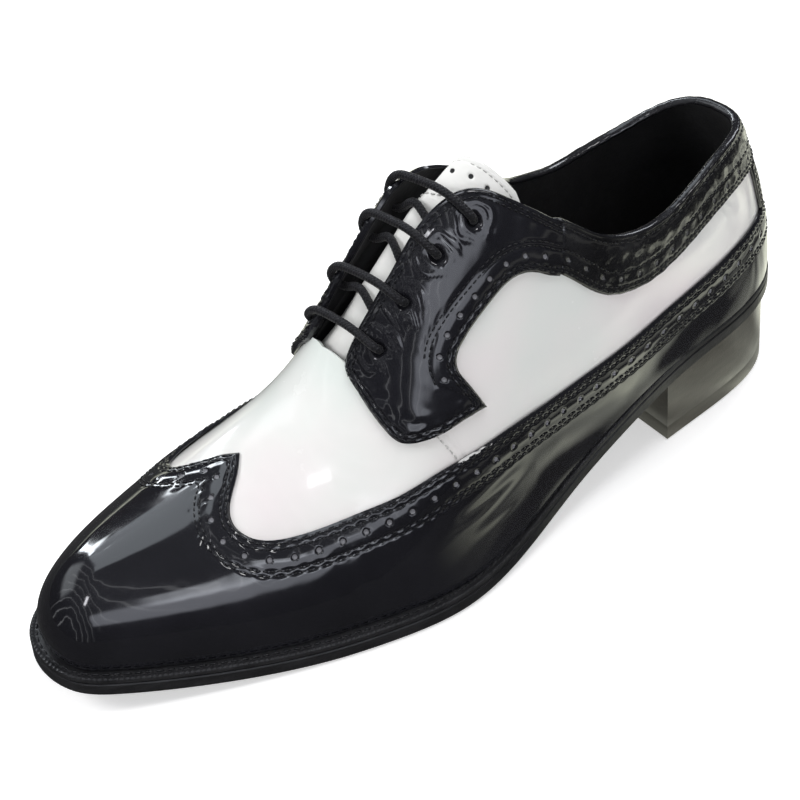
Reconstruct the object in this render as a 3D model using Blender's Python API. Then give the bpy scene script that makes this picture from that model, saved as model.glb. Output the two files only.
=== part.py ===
"""A spectator shoe, a left one: a two-colour derby with long wings, four rows of lacing and a stacked heel.

Metres, +Z up. The toe points to -Y, the outer (lateral) side is +X, and the floor is z = 0.
Everything lies on one last: a walk along the edge of the sole from the heel (0) to the toe's tip (1) on
either side, and a girth from the feather line (0), where the upper meets the welt, up to the instep's
ridge (1). Tables give places as walk and girth, or as along, the share of the length from the heel.
"""

from math import pi

import bmesh
import bpy
import numpy as np

LENGTH = 0.300
BALL_WIDTH = 0.111
HEEL_HEIGHT = 0.0325
HEEL_LENGTH = 0.068
HEEL_INSET = 0.002
SOLE = 0.005
WELT = 0.0025
TOE_SPRING = 0.0095
INSTEP = 0.090
EDGE_AT_HEEL = 0.002
EDGE_AT_TOE = 0.0055
TOE_ROUND = 0.026
HEEL_ROUND = 0.038
WALL = 0.0018
PANEL = 0.0012
FACING = 0.0020
TONGUE = 0.0020
INSOLE = 0.0050
LACE = 0.0027
LACE_BEND = 0.8
RIM_LEAN = 0.3
HEART = 0.035
EYELET = 0.0048
SEAT = 0.0003
PANEL_SEAT = 0.0004

# The sole's edge, in shares of half the ball width on each side
OUTLINE = (
    # along, lateral, medial
    (0.000, 0.00, 0.00),
    (0.010, 0.28, 0.25),
    (0.045, 0.46, 0.47),
    (0.105, 0.575, 0.58),
    (0.180, 0.635, 0.60),
    (0.280, 0.70, 0.53),
    (0.380, 0.765, 0.48),
    (0.480, 0.90, 0.55),
    (0.580, 1.00, 0.76),
    (0.660, 0.95, 0.94),
    (0.730, 0.85, 0.98),
    (0.810, 0.70, 0.88),
    (0.890, 0.52, 0.70),
    (0.950, 0.365, 0.50),
    (0.985, 0.23, 0.31),
    (1.000, -0.05, 0.05),
)
# The arch: the height of the sole's underside as a share of the heel height, down to the flat forefoot
ARCH = (
    # along, share
    (0.00, 1.000),
    (0.10, 0.925),
    (0.23, 0.810),
    (0.36, 0.420),
    (0.48, 0.100),
    (0.57, 0.012),
    (0.62, 0.000),
    (0.66, 0.000),
)
FOREFOOT = 0.62
TOE_BREAK = 0.72
TOE_RISE = 1.65
# How far the sole's edge stands out past the upper, from its value at the heel to its value at the toe
EDGE = (
    # along, share
    (0.00, 0.0),
    (0.20, 0.0),
    (0.45, 0.3),
    (0.65, 1.0),
    (1.00, 1.0),
)
# The instep's ridge over the feather line, and its shift to the medial side in shares of half the ball
RIDGE = (
    # along, height, shift
    (0.00, 1.06, 0.00),
    (0.15, 1.14, 0.02),
    (0.28, 1.22, 0.09),
    (0.36, 1.26, 0.17),
    (0.44, 1.27, 0.25),
    (0.50, 1.19, 0.27),
    (0.54, 1.06, 0.26),
    (0.58, 0.90, 0.22),
    (0.62, 0.72, 0.16),
    (0.66, 0.59, 0.11),
    (0.74, 0.465, 0.04),
    (0.82, 0.395, 0.00),
    (0.90, 0.33, 0.00),
    (0.96, 0.26, 0.00),
    (1.00, 0.20, 0.00),
)
# The last's section: how far it swells past the feather line, how steeply it rises and how square it is
SECTION = (
    # along, bulge, rise, shoulder
    (0.00, 0.02, 0.42, 0.36),
    (0.15, 0.08, 0.42, 0.48),
    (0.30, 0.08, 0.40, 0.55),
    (0.45, 0.05, 0.40, 0.50),
    (0.60, 0.06, 0.42, 0.48),
    (0.75, 0.08, 0.45, 0.52),
    (0.90, 0.12, 0.50, 0.56),
    (1.00, 0.16, 0.52, 0.58),
)
# The top line from the heel to the facing, then the edge that the facing stands on
COLLAR = (
    # walk, lateral girth, medial girth
    (0.000, 0.455, 0.455),
    (0.050, 0.460, 0.442),
    (0.100, 0.462, 0.405),
    (0.150, 0.445, 0.368),
    (0.200, 0.415, 0.352),
    (0.245, 0.405, 0.362),
    (0.290, 0.435, 0.415),
    (0.325, 0.495, 0.475),
    (0.358, 0.586, 0.570),
    (0.390, 0.645, 0.640),
    (0.420, 0.670, 0.670),
)
SLOT_GIRTH = 0.68
THROAT = 0.597
BAND_GIRTH = 0.12
BAND_TOP = 0.3565
BAND_FOOT = 0.3755
# The wing's upper edge, the walk of the feather line below each of its points and of the top edge above it
WING = (
    # walk, girth, foot, top
    (0.000, 0.205, 0.000, 0.000),
    (0.050, 0.208, 0.050, 0.050),
    (0.100, 0.207, 0.100, 0.100),
    (0.145, 0.196, 0.146, 0.145),
    (0.200, 0.182, 0.202, 0.200),
    (0.283, 0.184, 0.285, 0.283),
    (0.347, 0.205, 0.350, 0.347),
    (0.408, 0.236, 0.412, 0.408),
    (0.448, 0.262, 0.455, 0.448),
    (0.508, 0.308, 0.517, 0.505),
    (0.562, 0.368, 0.573, 0.552),
    (0.614, 0.432, 0.627, 0.593),
    (0.656, 0.485, 0.674, 0.606),
    (0.697, 0.522, 0.722, 0.625),
    (0.735, 0.562, 0.772, 0.640),
    (0.758, 0.618, 0.817, 0.652),
    (0.768, 0.698, 0.860, 0.663),
    (0.765, 0.776, 0.900, 0.674),
    (0.752, 0.846, 0.936, 0.686),
    (0.729, 0.920, 0.968, 0.698),
    (0.708, 1.000, 1.000, 0.708),
)
# A facing, from its front end round to the collar: its free edge (the medial one laced a little farther
# forward), its inner seam and its outer edge
FACINGS = (
    # free walk, medial free walk, free girth, seam walk, seam girth, edge walk, edge girth
    (0.597, 0.598, 0.850, 0.599, 0.830, 0.600, 0.810),
    (0.590, 0.593, 0.864, 0.595, 0.740, 0.601, 0.680),
    (0.580, 0.587, 0.868, 0.587, 0.620, 0.596, 0.565),
    (0.568, 0.578, 0.866, 0.574, 0.565, 0.583, 0.503),
    (0.556, 0.568, 0.862, 0.562, 0.540, 0.560, 0.452),
    (0.546, 0.560, 0.860, 0.553, 0.535, 0.535, 0.420),
    (0.538, 0.553, 0.858, 0.547, 0.545, 0.504, 0.384),
    (0.530, 0.546, 0.856, 0.542, 0.565, 0.513, 0.455),
    (0.522, 0.539, 0.856, 0.535, 0.590, 0.519, 0.512),
    (0.512, 0.530, 0.858, 0.523, 0.610, 0.514, 0.541),
    (0.498, 0.518, 0.860, 0.505, 0.618, 0.497, 0.550),
    (0.478, 0.500, 0.858, 0.482, 0.617, 0.468, 0.554),
    (0.458, 0.480, 0.850, 0.458, 0.622, 0.444, 0.557),
    (0.439, 0.460, 0.832, 0.440, 0.626, 0.428, 0.553),
    (0.420, 0.437, 0.790, 0.424, 0.620, 0.414, 0.541),
    (0.398, 0.408, 0.712, 0.404, 0.598, 0.402, 0.522),
    (0.378, 0.382, 0.645, 0.384, 0.570, 0.389, 0.494),
    (0.3585, 0.3585, 0.583, 0.366, 0.535, 0.3775, 0.474),
)
# How far each facing's free edge stands up off the last
FLARE = (
    # walk, lateral, medial
    (0.358, 0.0000, 0.0000),
    (0.400, 0.0003, 0.0018),
    (0.440, 0.0006, 0.0025),
    (0.472, 0.0006, 0.0025),
    (0.505, 0.0005, 0.0014),
    (0.545, 0.0003, 0.0006),
    (0.575, 0.0001, 0.0001),
    (0.600, 0.0000, 0.0000),
)
FLARE_FROM = 0.60
FLARE_FULL = 0.86
# The eyelets: the laced medial facing lies a little farther forward
EYELETS = (
    # lateral walk, medial walk, girth
    (0.570, 0.582, 0.758),
    (0.534, 0.552, 0.760),
    (0.491, 0.510, 0.752),
    (0.445, 0.477, 0.740),
)
# The tongue, from under the vamp to its top: its edges from the last's middle as shares of half the ball
# width, and its depth under the last
TONGUE_ROWS = (
    # along, lateral, medial, depth
    (0.622, 0.250, -0.160, 0.0040),
    (0.605, 0.300, -0.180, 0.0050),
    (0.585, 0.330, -0.200, 0.0062),
    (0.560, 0.350, -0.220, 0.0066),
    (0.520, 0.370, -0.230, 0.0070),
    (0.480, 0.385, -0.230, 0.0068),
    (0.450, 0.390, -0.210, 0.0058),
    (0.427, 0.390, -0.110, 0.0048),
    (0.412, 0.385, 0.000, 0.0044),
    (0.398, 0.375, 0.110, 0.0042),
    (0.386, 0.350, 0.200, 0.0040),
)
STRIP_WALK = 0.072


def smooth_curve(knots, rows, closed=False):
    """The curve with even curvature through the rows, one at each knot."""
    knots = np.asarray(knots, float)
    rows = np.asarray(rows, float).reshape(len(knots), -1)
    count = len(knots)
    gap = np.diff(knots)
    left = np.zeros((count, count))
    right = np.zeros_like(rows)
    for i in range(1, count - 1):
        before, after = gap[i - 1], gap[i]
        left[i, i - 1:i + 2] = after, 2 * (before + after), before
        right[i] = 3 * (after * (rows[i] - rows[i - 1]) / before + before * (rows[i + 1] - rows[i]) / after)
    if closed:
        left[0, 0], left[0, -1] = 1, -1
        left[-1, [0, 1, -2, -1]] = 2 * gap[-1], gap[-1], gap[0], 2 * gap[0]
        right[-1] = 3 * (gap[0] * (rows[-1] - rows[-2]) / gap[-1] + gap[-1] * (rows[1] - rows[0]) / gap[0])
    else:
        left[0, :2] = 2, 1
        right[0] = 3 * (rows[1] - rows[0]) / gap[0]
        left[-1, -2:] = 1, 2
        right[-1] = 3 * (rows[-1] - rows[-2]) / gap[-1]
    slope = np.linalg.solve(left, right)

    def at(x):
        x = np.asarray(x, float)
        i = np.clip(np.searchsorted(knots, x, side="right") - 1, 0, count - 2)
        u = ((x - knots[i]) / gap[i])[..., None]
        span = gap[i][..., None]
        return (
            (1 + 2 * u) * (1 - u) ** 2 * rows[i] + u * (1 - u) ** 2 * span * slope[i]
            + u ** 2 * (3 - 2 * u) * rows[i + 1] + u ** 2 * (u - 1) * span * slope[i + 1]
        )
    return at


def table(rows):
    """A table as a smooth curve of its first column."""
    rows = np.array(rows)
    return smooth_curve(rows[:, 0], rows[:, 1:])


def steps_along(points):
    """The distance walked along a line of points."""
    return np.concatenate([[0], np.cumsum(np.linalg.norm(np.diff(points, axis=0), axis=1))])


class Last:
    """The form that the shoe is made on, with the sole's edge and the feather line around it."""

    def __init__(self):
        half = BALL_WIDTH / 2
        along, lateral, medial = np.array(OUTLINE).T
        y = (0.5 - along) * LENGTH
        outer = np.stack([lateral * half, y], 1)
        inner = np.stack([-medial * half, y], 1)
        corners = np.concatenate([outer, inner[-2:0:-1], outer[:1]])
        walked = steps_along(corners)
        self.loop = smooth_curve(walked, corners, closed=True)(np.linspace(0, walked[-1], 6001))
        self.loop -= (self.loop.max(0) + self.loop.min(0)) / 2
        run = np.roll(self.loop[:-1], -1, axis=0) - np.roll(self.loop[:-1], 1, axis=0)
        run /= np.linalg.norm(run, axis=1)[:, None]
        inward = np.stack([run[:, 1], -run[:, 0]], 1)
        if np.sum(inward * self.loop[:-1]) > 0:
            inward = -inward
        self.inward = np.concatenate([inward, inward[:1]])
        self.edge = self.sides(0)
        self.feather = self.sides(self.edge_width(self.loop[:, 1]))
        self.ridge_table = table(RIDGE)
        self.section_table = table(SECTION)
        self.arch_table = table(ARCH)

    def edge_width(self, y):
        """How far the sole's edge stands out past the upper."""
        share = np.interp(self.along(y), *np.array(EDGE).T)
        return EDGE_AT_HEEL + (EDGE_AT_TOE - EDGE_AT_HEEL) * share

    def sides(self, inset):
        """A loop inside the sole's edge as walk, y, lateral x and medial x."""
        loop = (self.loop + self.inward * np.reshape(inset, (-1, 1)))[:-1]
        loop = np.roll(loop, -np.argmax(loop[:, 1]), axis=0)
        toe = np.argmin(loop[:, 1])
        one, two = loop[:toe + 1], np.concatenate([loop[toe:], loop[:1]])[::-1]
        lateral, medial = (one, two) if one[:, 0].mean() > two[:, 0].mean() else (two, one)
        walked = steps_along(lateral)
        walk = np.linspace(0, 1, 1201)
        y = np.interp(walk * walked[-1], walked, lateral[:, 1])
        x = np.interp(walk * walked[-1], walked, lateral[:, 0])
        return walk, y, x, np.interp(-y, -medial[:, 1], medial[:, 0])

    def along(self, y):
        return np.clip(0.5 - np.asarray(y) / LENGTH, 0, 1)

    def underside(self, y):
        """The height of the sole's underside: the arch, the flat forefoot and the toe spring."""
        along = self.along(y)
        arch = np.where(along < FOREFOOT, np.maximum(self.arch_table(along)[..., 0], 0), 0)
        toe = np.maximum(along - TOE_BREAK, 0) / (1 - TOE_BREAK)
        return arch * HEEL_HEIGHT + toe ** TOE_RISE * TOE_SPRING

    def feather_height(self, y):
        return self.underside(y) + SOLE + WELT

    def meridian(self, walk, lateral):
        """The two ends of a meridian: on the feather line, and on the instep's ridge."""
        walks, ys, outer, inner = self.feather
        y = np.interp(walk, walks, ys)
        x = np.where(lateral, np.interp(walk, walks, outer), np.interp(walk, walks, inner))
        ridge_y = ys[-1] + np.sqrt((y - ys[-1]) ** 2 + TOE_ROUND ** 2)
        ridge_y = ys[0] - np.sqrt((ys[0] - ridge_y) ** 2 + HEEL_ROUND ** 2)
        ridge = self.ridge_table(self.along(ridge_y))
        middle = (np.interp(-ridge_y, -ys, outer) + np.interp(-ridge_y, -ys, inner)) / 2
        ridge_x = middle - ridge[..., 1] * BALL_WIDTH / 2
        ridge_z = self.feather_height(ridge_y) + ridge[..., 0] * INSTEP
        low = np.stack([x, y, self.feather_height(y)], -1)
        return low, np.stack([ridge_x, ridge_y, ridge_z], -1)

    def surface(self, walk, girth, lateral):
        """A point of the last: each meridian is one cubic arc in an upright plane."""
        low, top = self.meridian(walk, lateral)
        bulge, rise, shoulder = np.moveaxis(self.section_table(self.along(low[..., 1])), -1, 0)
        girth = np.asarray(girth, float)
        first = 3 * (1 - girth) ** 2 * girth
        second = 3 * (1 - girth) * girth ** 2
        reach = (1 - girth) ** 3 + first * (1 + bulge) + second * shoulder
        height = first * rise + second + girth ** 3
        flat = top[..., :2] + (low[..., :2] - top[..., :2]) * reach[..., None]
        z = low[..., 2] + (top[..., 2] - low[..., 2]) * height
        return np.concatenate([flat, z[..., None]], -1)

    def plan(self, walk, girth, lateral):
        """Walk and girth as a place on the flat pattern, where meridians are straight lines."""
        low, top = self.meridian(walk, lateral)
        return (low + (top - low) * np.asarray(girth, float)[..., None])[..., :2]

    def centre(self, y):
        """The pattern's centre line: the heel's and the toe's meridians, and the ridge between them."""
        low, top = self.meridian(np.linspace(0, 1, 601), True)
        line = np.concatenate([low[:1], top, low[-1:]])
        return np.interp(-np.asarray(y), -line[:, 1], line[:, 0])

    def unplan(self, place):
        """The walk and girth of a place on the flat pattern, and whether it is on the lateral side."""
        lateral = place[..., 0] >= self.centre(place[..., 1])
        low_walk = np.zeros(place.shape[:-1])
        high_walk = np.ones(place.shape[:-1])
        for _ in range(36):
            walk = (low_walk + high_walk) / 2
            low, top = self.meridian(walk, lateral)
            spoke = (low - top)[..., :2]
            arm = place - top[..., :2]
            turn = spoke[..., 0] * arm[..., 1] - spoke[..., 1] * arm[..., 0]
            behind = np.where(lateral, turn > 0, turn < 0)
            high_walk = np.where(behind, walk, high_walk)
            low_walk = np.where(behind, low_walk, walk)
        low, top = self.meridian(walk, lateral)
        spoke = (top - low)[..., :2]
        girth = np.sum((place - low[..., :2]) * spoke, -1) / np.sum(spoke ** 2, -1)
        return walk, girth, lateral

    def on_pattern(self, place):
        """The point of the last over a place on the flat pattern."""
        return self.surface(*self.unplan(place))

    def raised(self, place, height):
        """A point at a height over the last, square to its surface."""
        step = 0.0003
        across = self.on_pattern(place + [step, 0]) - self.on_pattern(place - [step, 0])
        length = self.on_pattern(place + [0, step]) - self.on_pattern(place - [0, step])
        normal = np.cross(across, length)
        normal /= np.linalg.norm(normal, axis=-1)[..., None]
        return self.on_pattern(place) + normal * np.asarray(height)[..., None]


last = Last()


def material(name, colour, roughness):
    """A plain Principled finish."""
    new = bpy.data.materials.new(name)
    new.use_nodes = True
    shader = new.node_tree.nodes["Principled BSDF"]
    shader.inputs["Base Color"].default_value = (*colour, 1)
    shader.inputs["Roughness"].default_value = roughness
    return new


def add_object(name, points, faces, finish):
    """A mesh as an object, shaded smooth but for its sharp edges."""
    mesh = bpy.data.meshes.new(name)
    mesh.from_pydata([tuple(map(float, p)) for p in points], [], faces)
    work = bmesh.new()
    work.from_mesh(mesh)
    bmesh.ops.delete(work, geom=[v for v in work.verts if not v.link_faces], context="VERTS")
    bmesh.ops.recalc_face_normals(work, faces=work.faces)
    work.to_mesh(mesh)
    work.free()
    mesh.shade_smooth()
    mesh.set_sharp_from_angle(angle=pi / 5)
    mesh.materials.append(finish)
    thing = bpy.data.objects.new(name, mesh)
    bpy.context.scene.collection.objects.link(thing)
    return thing


def sheet_faces(grid, ring):
    """The triangles of a grid of points, with points that meet taken as one."""
    rows, columns = grid.shape[:2]
    sheet = bmesh.new()
    place = sheet.verts.layers.int.new("place")
    corners = [sheet.verts.new(point) for point in grid.reshape(-1, 3)]
    for i, corner in enumerate(corners):
        corner[place] = i
    for i in range(rows if ring else rows - 1):
        for j in range(columns - 1):
            a, b = i * columns + j, (i + 1) % rows * columns + j
            if ring and i >= rows // 2:
                pair = (a, a + 1, b), (a + 1, b + 1, b)
            else:
                pair = (a, a + 1, b + 1), (a, b + 1, b)
            for face in pair:
                sheet.faces.new([corners[k] for k in face])
    bmesh.ops.remove_doubles(sheet, verts=sheet.verts, dist=0.00005)
    faces = [[corner[place] for corner in face.verts] for face in sheet.faces]
    sheet.free()
    return faces


def add_shell(name, outside, inside, finish, ring=False):
    """A closed body between two grids of points, with a rim wherever the sheet ends."""
    faces = sheet_faces(outside, ring)
    edges = {(face[k - 1], face[k]) for face in faces for k in range(3)}
    count = outside.shape[0] * outside.shape[1]
    back = [[corner + count for corner in reversed(face)] for face in faces]
    rim = [(b, a, a + count, b + count) for a, b in edges if (b, a) not in edges]
    points = np.concatenate([outside.reshape(-1, 3), inside.reshape(-1, 3)])
    return add_object(name, points, faces + back + rim, finish)


def add_plate(name, sides, low, high, finish, walks):
    """A plate between two heights over the sole's outline, with an even rung at each walk."""
    walk, ys, outer, inner = sides
    y = np.interp(walks, walk, ys)
    lateral = np.interp(walks, walk, outer)
    medial = np.interp(walks, walk, inner)
    points = []
    for x in (lateral, medial):
        points += [np.stack([x, y, low(y)], 1), np.stack([x, y, high(y)], 1)]
    count = len(walks)
    faces = []
    for i in range(count - 1):
        a, b, c, d = (i + count * k for k in range(4))
        faces += [(a, a + 1, b + 1, b), (c, d, d + 1, c + 1), (b, b + 1, d + 1, d), (a, c, c + 1, a + 1)]
    thing = add_object(name, np.concatenate(points), faces, finish)
    work = bmesh.new()
    work.from_mesh(thing.data)
    open_edges = [e for e in work.edges if e.is_boundary]
    if open_edges:
        bmesh.ops.holes_fill(work, edges=open_edges)
    bmesh.ops.dissolve_degenerate(work, dist=0.00001, edges=work.edges)
    bmesh.ops.recalc_face_normals(work, faces=work.faces)
    work.to_mesh(thing.data)
    work.free()
    return thing


def even_walks(count, *extra):
    """Walks at even steps, closer together round the toe's tip and the heel's back, with any extra ones."""
    even = np.linspace(0, 1, count)
    eased = even - 0.35 * np.sin(2 * pi * even) / (2 * pi)
    return np.unique(np.concatenate([eased, extra]))


def both_sides(walks):
    """A ring of walks: up the lateral side from the heel, and back down the medial side."""
    walk = np.concatenate([walks, walks[-2:0:-1]])
    lateral = np.arange(len(walk)) < len(walks)
    return walk, lateral


def opening(walk, lateral):
    """The girth of the upper's top edge: the collar, the slot's edge, and closed over the forefoot."""
    collar = table(COLLAR)(np.minimum(walk, COLLAR[-1][0]))
    line = np.where(lateral, collar[..., 0], collar[..., 1])
    line = np.where(walk > COLLAR[-1][0], SLOT_GIRTH, line)
    return np.where(walk > THROAT, 1.0, line)


def wing_ring():
    """The columns that the upper and the wing share: their feet, the wing's edge and the upper's top edge."""
    places = np.arange(len(WING))
    half = table([(i, *row) for i, row in zip(places, WING)])(np.linspace(0, places[-1], 37))
    half[:, 3] = np.interp(np.linspace(0, places[-1], 37), places, np.array(WING)[:, 3])
    half[-1] = WING[-1]
    ring = np.concatenate([half, half[-2:0:-1]])
    lateral = np.arange(len(ring)) < len(half)
    walk, girth, foot, top = ring.T
    low = last.plan(foot, 0 * foot, lateral)
    middle = last.plan(walk, girth, lateral)
    high = last.plan(top, opening(top, lateral), lateral)
    return low[:, None], middle[:, None], high[:, None]


def wing_rows(low, middle):
    """Rows of places from the feather line up to the wing's edge, closer together at the foot."""
    share = np.linspace(0, 1, 8)[None, :, None] ** 1.2
    return low + (middle - low) * share


def lift(walk, girth, lateral):
    """How far a facing stands up off the last: nothing at its seam, and all of its flare at the free edge."""
    flare = table(FLARE)(np.clip(walk, FLARE[0][0], FLARE[-1][0]))
    share = np.clip((girth - FLARE_FROM) / (FLARE_FULL - FLARE_FROM), 0, 1)
    return np.where(lateral, flare[..., 0], flare[..., 1]) * share ** 1.5


def make_outsole(finish):
    walks = even_walks(45)
    return add_plate("outsole", last.edge, last.underside, lambda y: last.underside(y) + SOLE, finish, walks)


def make_insole(finish):
    inset = last.edge_width(last.loop[:, 1]) + WALL + 2 * SEAT

    def low(y):
        return last.underside(y) + SOLE + SEAT
    return add_plate("insole", last.sides(inset), low, lambda y: low(y) + INSOLE, finish, even_walks(33))


def make_heel(finish):
    """The heel block: the sole's outline behind the breast, from the floor up to the sole."""
    sides = last.sides(HEEL_INSET)
    walk, ys, _, _ = sides
    breast = np.interp(-(LENGTH / 2 - HEEL_LENGTH), -ys, walk)
    walks = np.append(even_walks(45)[even_walks(45) < breast - 0.005], breast)

    def floor(y):
        return 0 * y
    return add_plate("heel", sides, floor, lambda y: last.underside(y) - SEAT, finish, walks)


def make_welt(finish):
    """The welt: a flat ring on the outsole, out to its edge and in under the upper's wall."""
    walk, lateral = both_sides(even_walks(45))
    inner = last.sides(last.edge_width(last.loop[:, 1]) + WALL)
    rings = []
    for sides in (last.edge, inner):
        y = np.interp(walk, sides[0], sides[1])
        x = np.where(lateral, np.interp(walk, sides[0], sides[2]), np.interp(walk, sides[0], sides[3]))
        rings.append((x, y))
    profile = []
    for (x, y), high in ((rings[0], False), (rings[0], True), (rings[1], True), (rings[1], False)):
        profile.append(np.stack([x, y, last.underside(y) + SOLE + (WELT if high else SEAT)], -1))
    grid = np.stack(profile, 1)
    count = len(walk)
    faces = []
    for i in range(count):
        for j in range(4):
            here, there = i * 4, (i + 1) % count * 4
            faces.append((here + j, here + (j + 1) % 4, there + (j + 1) % 4, there + j))
    return add_object("welt", grid.reshape(-1, 3), faces, finish)


def stand_on_welt(*grids):
    """The foot of each grid set level, just over the welt."""
    for grid in grids:
        grid[:, 0, 2] = last.feather_height(grid[:, 0, 1]) + SEAT


def make_upper(finish):
    """The upper: one wall round the whole last, open at the collar, down the slot and underneath."""
    low, middle, high = wing_ring()
    share = np.linspace(0, 1, 7)[None, 1:, None]
    place = np.concatenate([wing_rows(low, middle), middle + (high - middle) * share], 1)
    outside, inside = last.raised(place, 0), last.raised(place, -WALL)
    stand_on_welt(outside, inside)
    return add_shell("upper", outside, inside, finish, ring=True)


def make_wing(finish):
    """The long wing: from the feather line up to its edge, which rises to a peak over the toes."""
    low, middle, _ = wing_ring()
    place = wing_rows(low, middle)
    outside, inside = last.raised(place, PANEL_SEAT + PANEL), last.raised(place, PANEL_SEAT)
    stand_on_welt(outside, inside)
    return add_shell("wing_cap", outside, inside, finish, ring=True)


def make_band(finish):
    """The collar band: along the top line, from one facing round the heel to the other."""
    end = np.linspace(BAND_FOOT, BAND_TOP, 4)
    share = np.linspace(0, 1, 17)
    share = np.concatenate([share[::-1], share[1:]])
    lateral = (np.arange(len(share)) < 17)[:, None]
    walk = share[:, None] * end
    top = opening(share * BAND_TOP, lateral[:, 0])
    girth = top[:, None] - BAND_GIRTH * np.linspace(1, 0, 4)
    place = last.plan(walk, girth, lateral)
    outside, inside = last.raised(place, PANEL_SEAT + PANEL), last.raised(place, PANEL_SEAT)
    return add_shell("collar_band", outside, inside, finish)


def make_strip(finish):
    """The back strip: over the heel's seam, between the wing and the collar band."""
    walks = np.linspace(0, STRIP_WALK, 4)
    walk = np.concatenate([walks[::-1], walks[1:]])
    lateral = np.arange(len(walk)) < len(walks)
    gap = 0.006
    low = np.interp(walk, *np.array(WING)[:5, :2].T) + gap
    high = opening(walk, lateral) - BAND_GIRTH - gap
    girth = low[:, None] + (high - low)[:, None] * np.linspace(0, 1, 4)
    walk = walk[:, None] + 0 * girth
    place = last.plan(walk, girth, lateral[:, None])
    outside, inside = last.raised(place, PANEL_SEAT + PANEL), last.raised(place, PANEL_SEAT)
    return add_shell("back_strip", outside, inside, finish)


def make_facing(name, lateral, finish):
    """One facing: the eyelet stay with its curled lower end, standing up off the last at its free edge."""
    rows = np.array(FACINGS)
    free = last.plan(rows[:, 0 if lateral else 1], rows[:, 2], lateral)
    seam, edge = last.plan(rows[:, 3], rows[:, 4], lateral), last.plan(rows[:, 5], rows[:, 6], lateral)
    inner = [free + (seam - free) * share for share in (0, 0.25, 0.5, 0.75)]
    outer = [seam + (edge - seam) * share for share in (0, 0.33, 0.67, 1)]
    place = np.stack(inner + outer, 1)
    walk, girth, _ = last.unplan(place)
    stand = PANEL_SEAT + lift(walk, girth, lateral)
    thing = add_shell(name, last.raised(place, stand + FACING), last.raised(place, stand), finish)
    holes = bmesh.new()
    for outer, inner, girth in EYELETS:
        walk = outer if lateral else inner
        hole = last.plan(walk, girth, lateral)
        stand = float(lift(walk, girth, lateral))
        low, high = last.raised(hole, stand - FACING), last.raised(hole, stand + 3 * FACING)
        add_round(holes, low, high, EYELET / 2)
    mesh = bpy.data.meshes.new(name + "_holes")
    holes.to_mesh(mesh)
    holes.free()
    cutter = bpy.data.objects.new(name + "_holes", mesh)
    bpy.context.scene.collection.objects.link(cutter)
    cutter.hide_render = True
    cutter.display_type = "WIRE"
    cut = thing.modifiers.new("eyelets", "BOOLEAN")
    cut.object = cutter
    return thing


def add_round(work, start, end, radius):
    """A closed round bar between two points."""
    axis = (end - start) / np.linalg.norm(end - start)
    side = np.cross(axis, [0, 1, 0])
    side /= np.linalg.norm(side)
    other = np.cross(axis, side)
    turn = np.arange(12) * pi / 6
    ring = radius * (np.cos(turn)[:, None] * side + np.sin(turn)[:, None] * other)
    low = [work.verts.new(start + p) for p in ring]
    high = [work.verts.new(end + p) for p in ring]
    for i in range(12):
        after = (i + 1) % 12
        work.faces.new((low[i], low[after], high[after], high[i]))
    work.faces.new(low[::-1])
    work.faces.new(high)


def over_tongue(along, across, height):
    """A point over the tongue's face, which lies inside the last's surface, nearer to the foot's middle."""
    rows = np.array(TONGUE_ROWS)[::-1]
    depth = np.interp(along, rows[:, 0], rows[:, 3]) - height
    y = (0.5 - along) * LENGTH
    middle = last.centre(y)
    step = 0.001
    crown, ahead = (last.on_pattern(np.stack([last.centre(at), at], -1)) for at in (y, y - step))
    fall = (ahead - crown)[..., 2] / step
    back = np.stack([0 * y, -fall, -np.ones_like(y)], -1) / np.sqrt(1 + fall ** 2)[..., None]
    heart = crown + back * HEART + [HEART / 4, 0, 0]
    point = last.on_pattern(np.stack([middle + across * BALL_WIDTH / 2, y], -1))
    way = heart - point
    return point + way * (depth / np.linalg.norm(way, axis=-1))[..., None]


def make_tongue(finish):
    """The tongue: a flap under the lacing, from under the vamp's edge to its rounded top."""
    along, outer, inner, _ = np.array(TONGUE_ROWS).T[:, None, :]
    across = outer + (inner - outer) * np.linspace(0, 1, 9)[:, None]
    along = along + 0 * across
    return add_shell("tongue", over_tongue(along, across, 0), over_tongue(along, across, -TONGUE), finish)


def rounded(points, radius):
    """A line of points with each corner cut back to an arc's two ends, and its middle where it is sharp."""
    line = [points[0]]
    for before, corner, after in zip(points, points[1:], points[2:]):
        back, ahead = before - corner, after - corner
        back /= np.linalg.norm(back)
        ahead /= np.linalg.norm(ahead)
        turn = pi - np.arccos(np.clip(back @ ahead, -1, 1))
        if turn < LACE_BEND:
            line.append(corner)
            continue
        cut = radius * np.tan(turn / 2)
        start, end = corner + back * cut, corner + ahead * cut
        line += [start, (start + end) / 4 + corner / 2, end]
    return np.array(line + [points[-1]])


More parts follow.
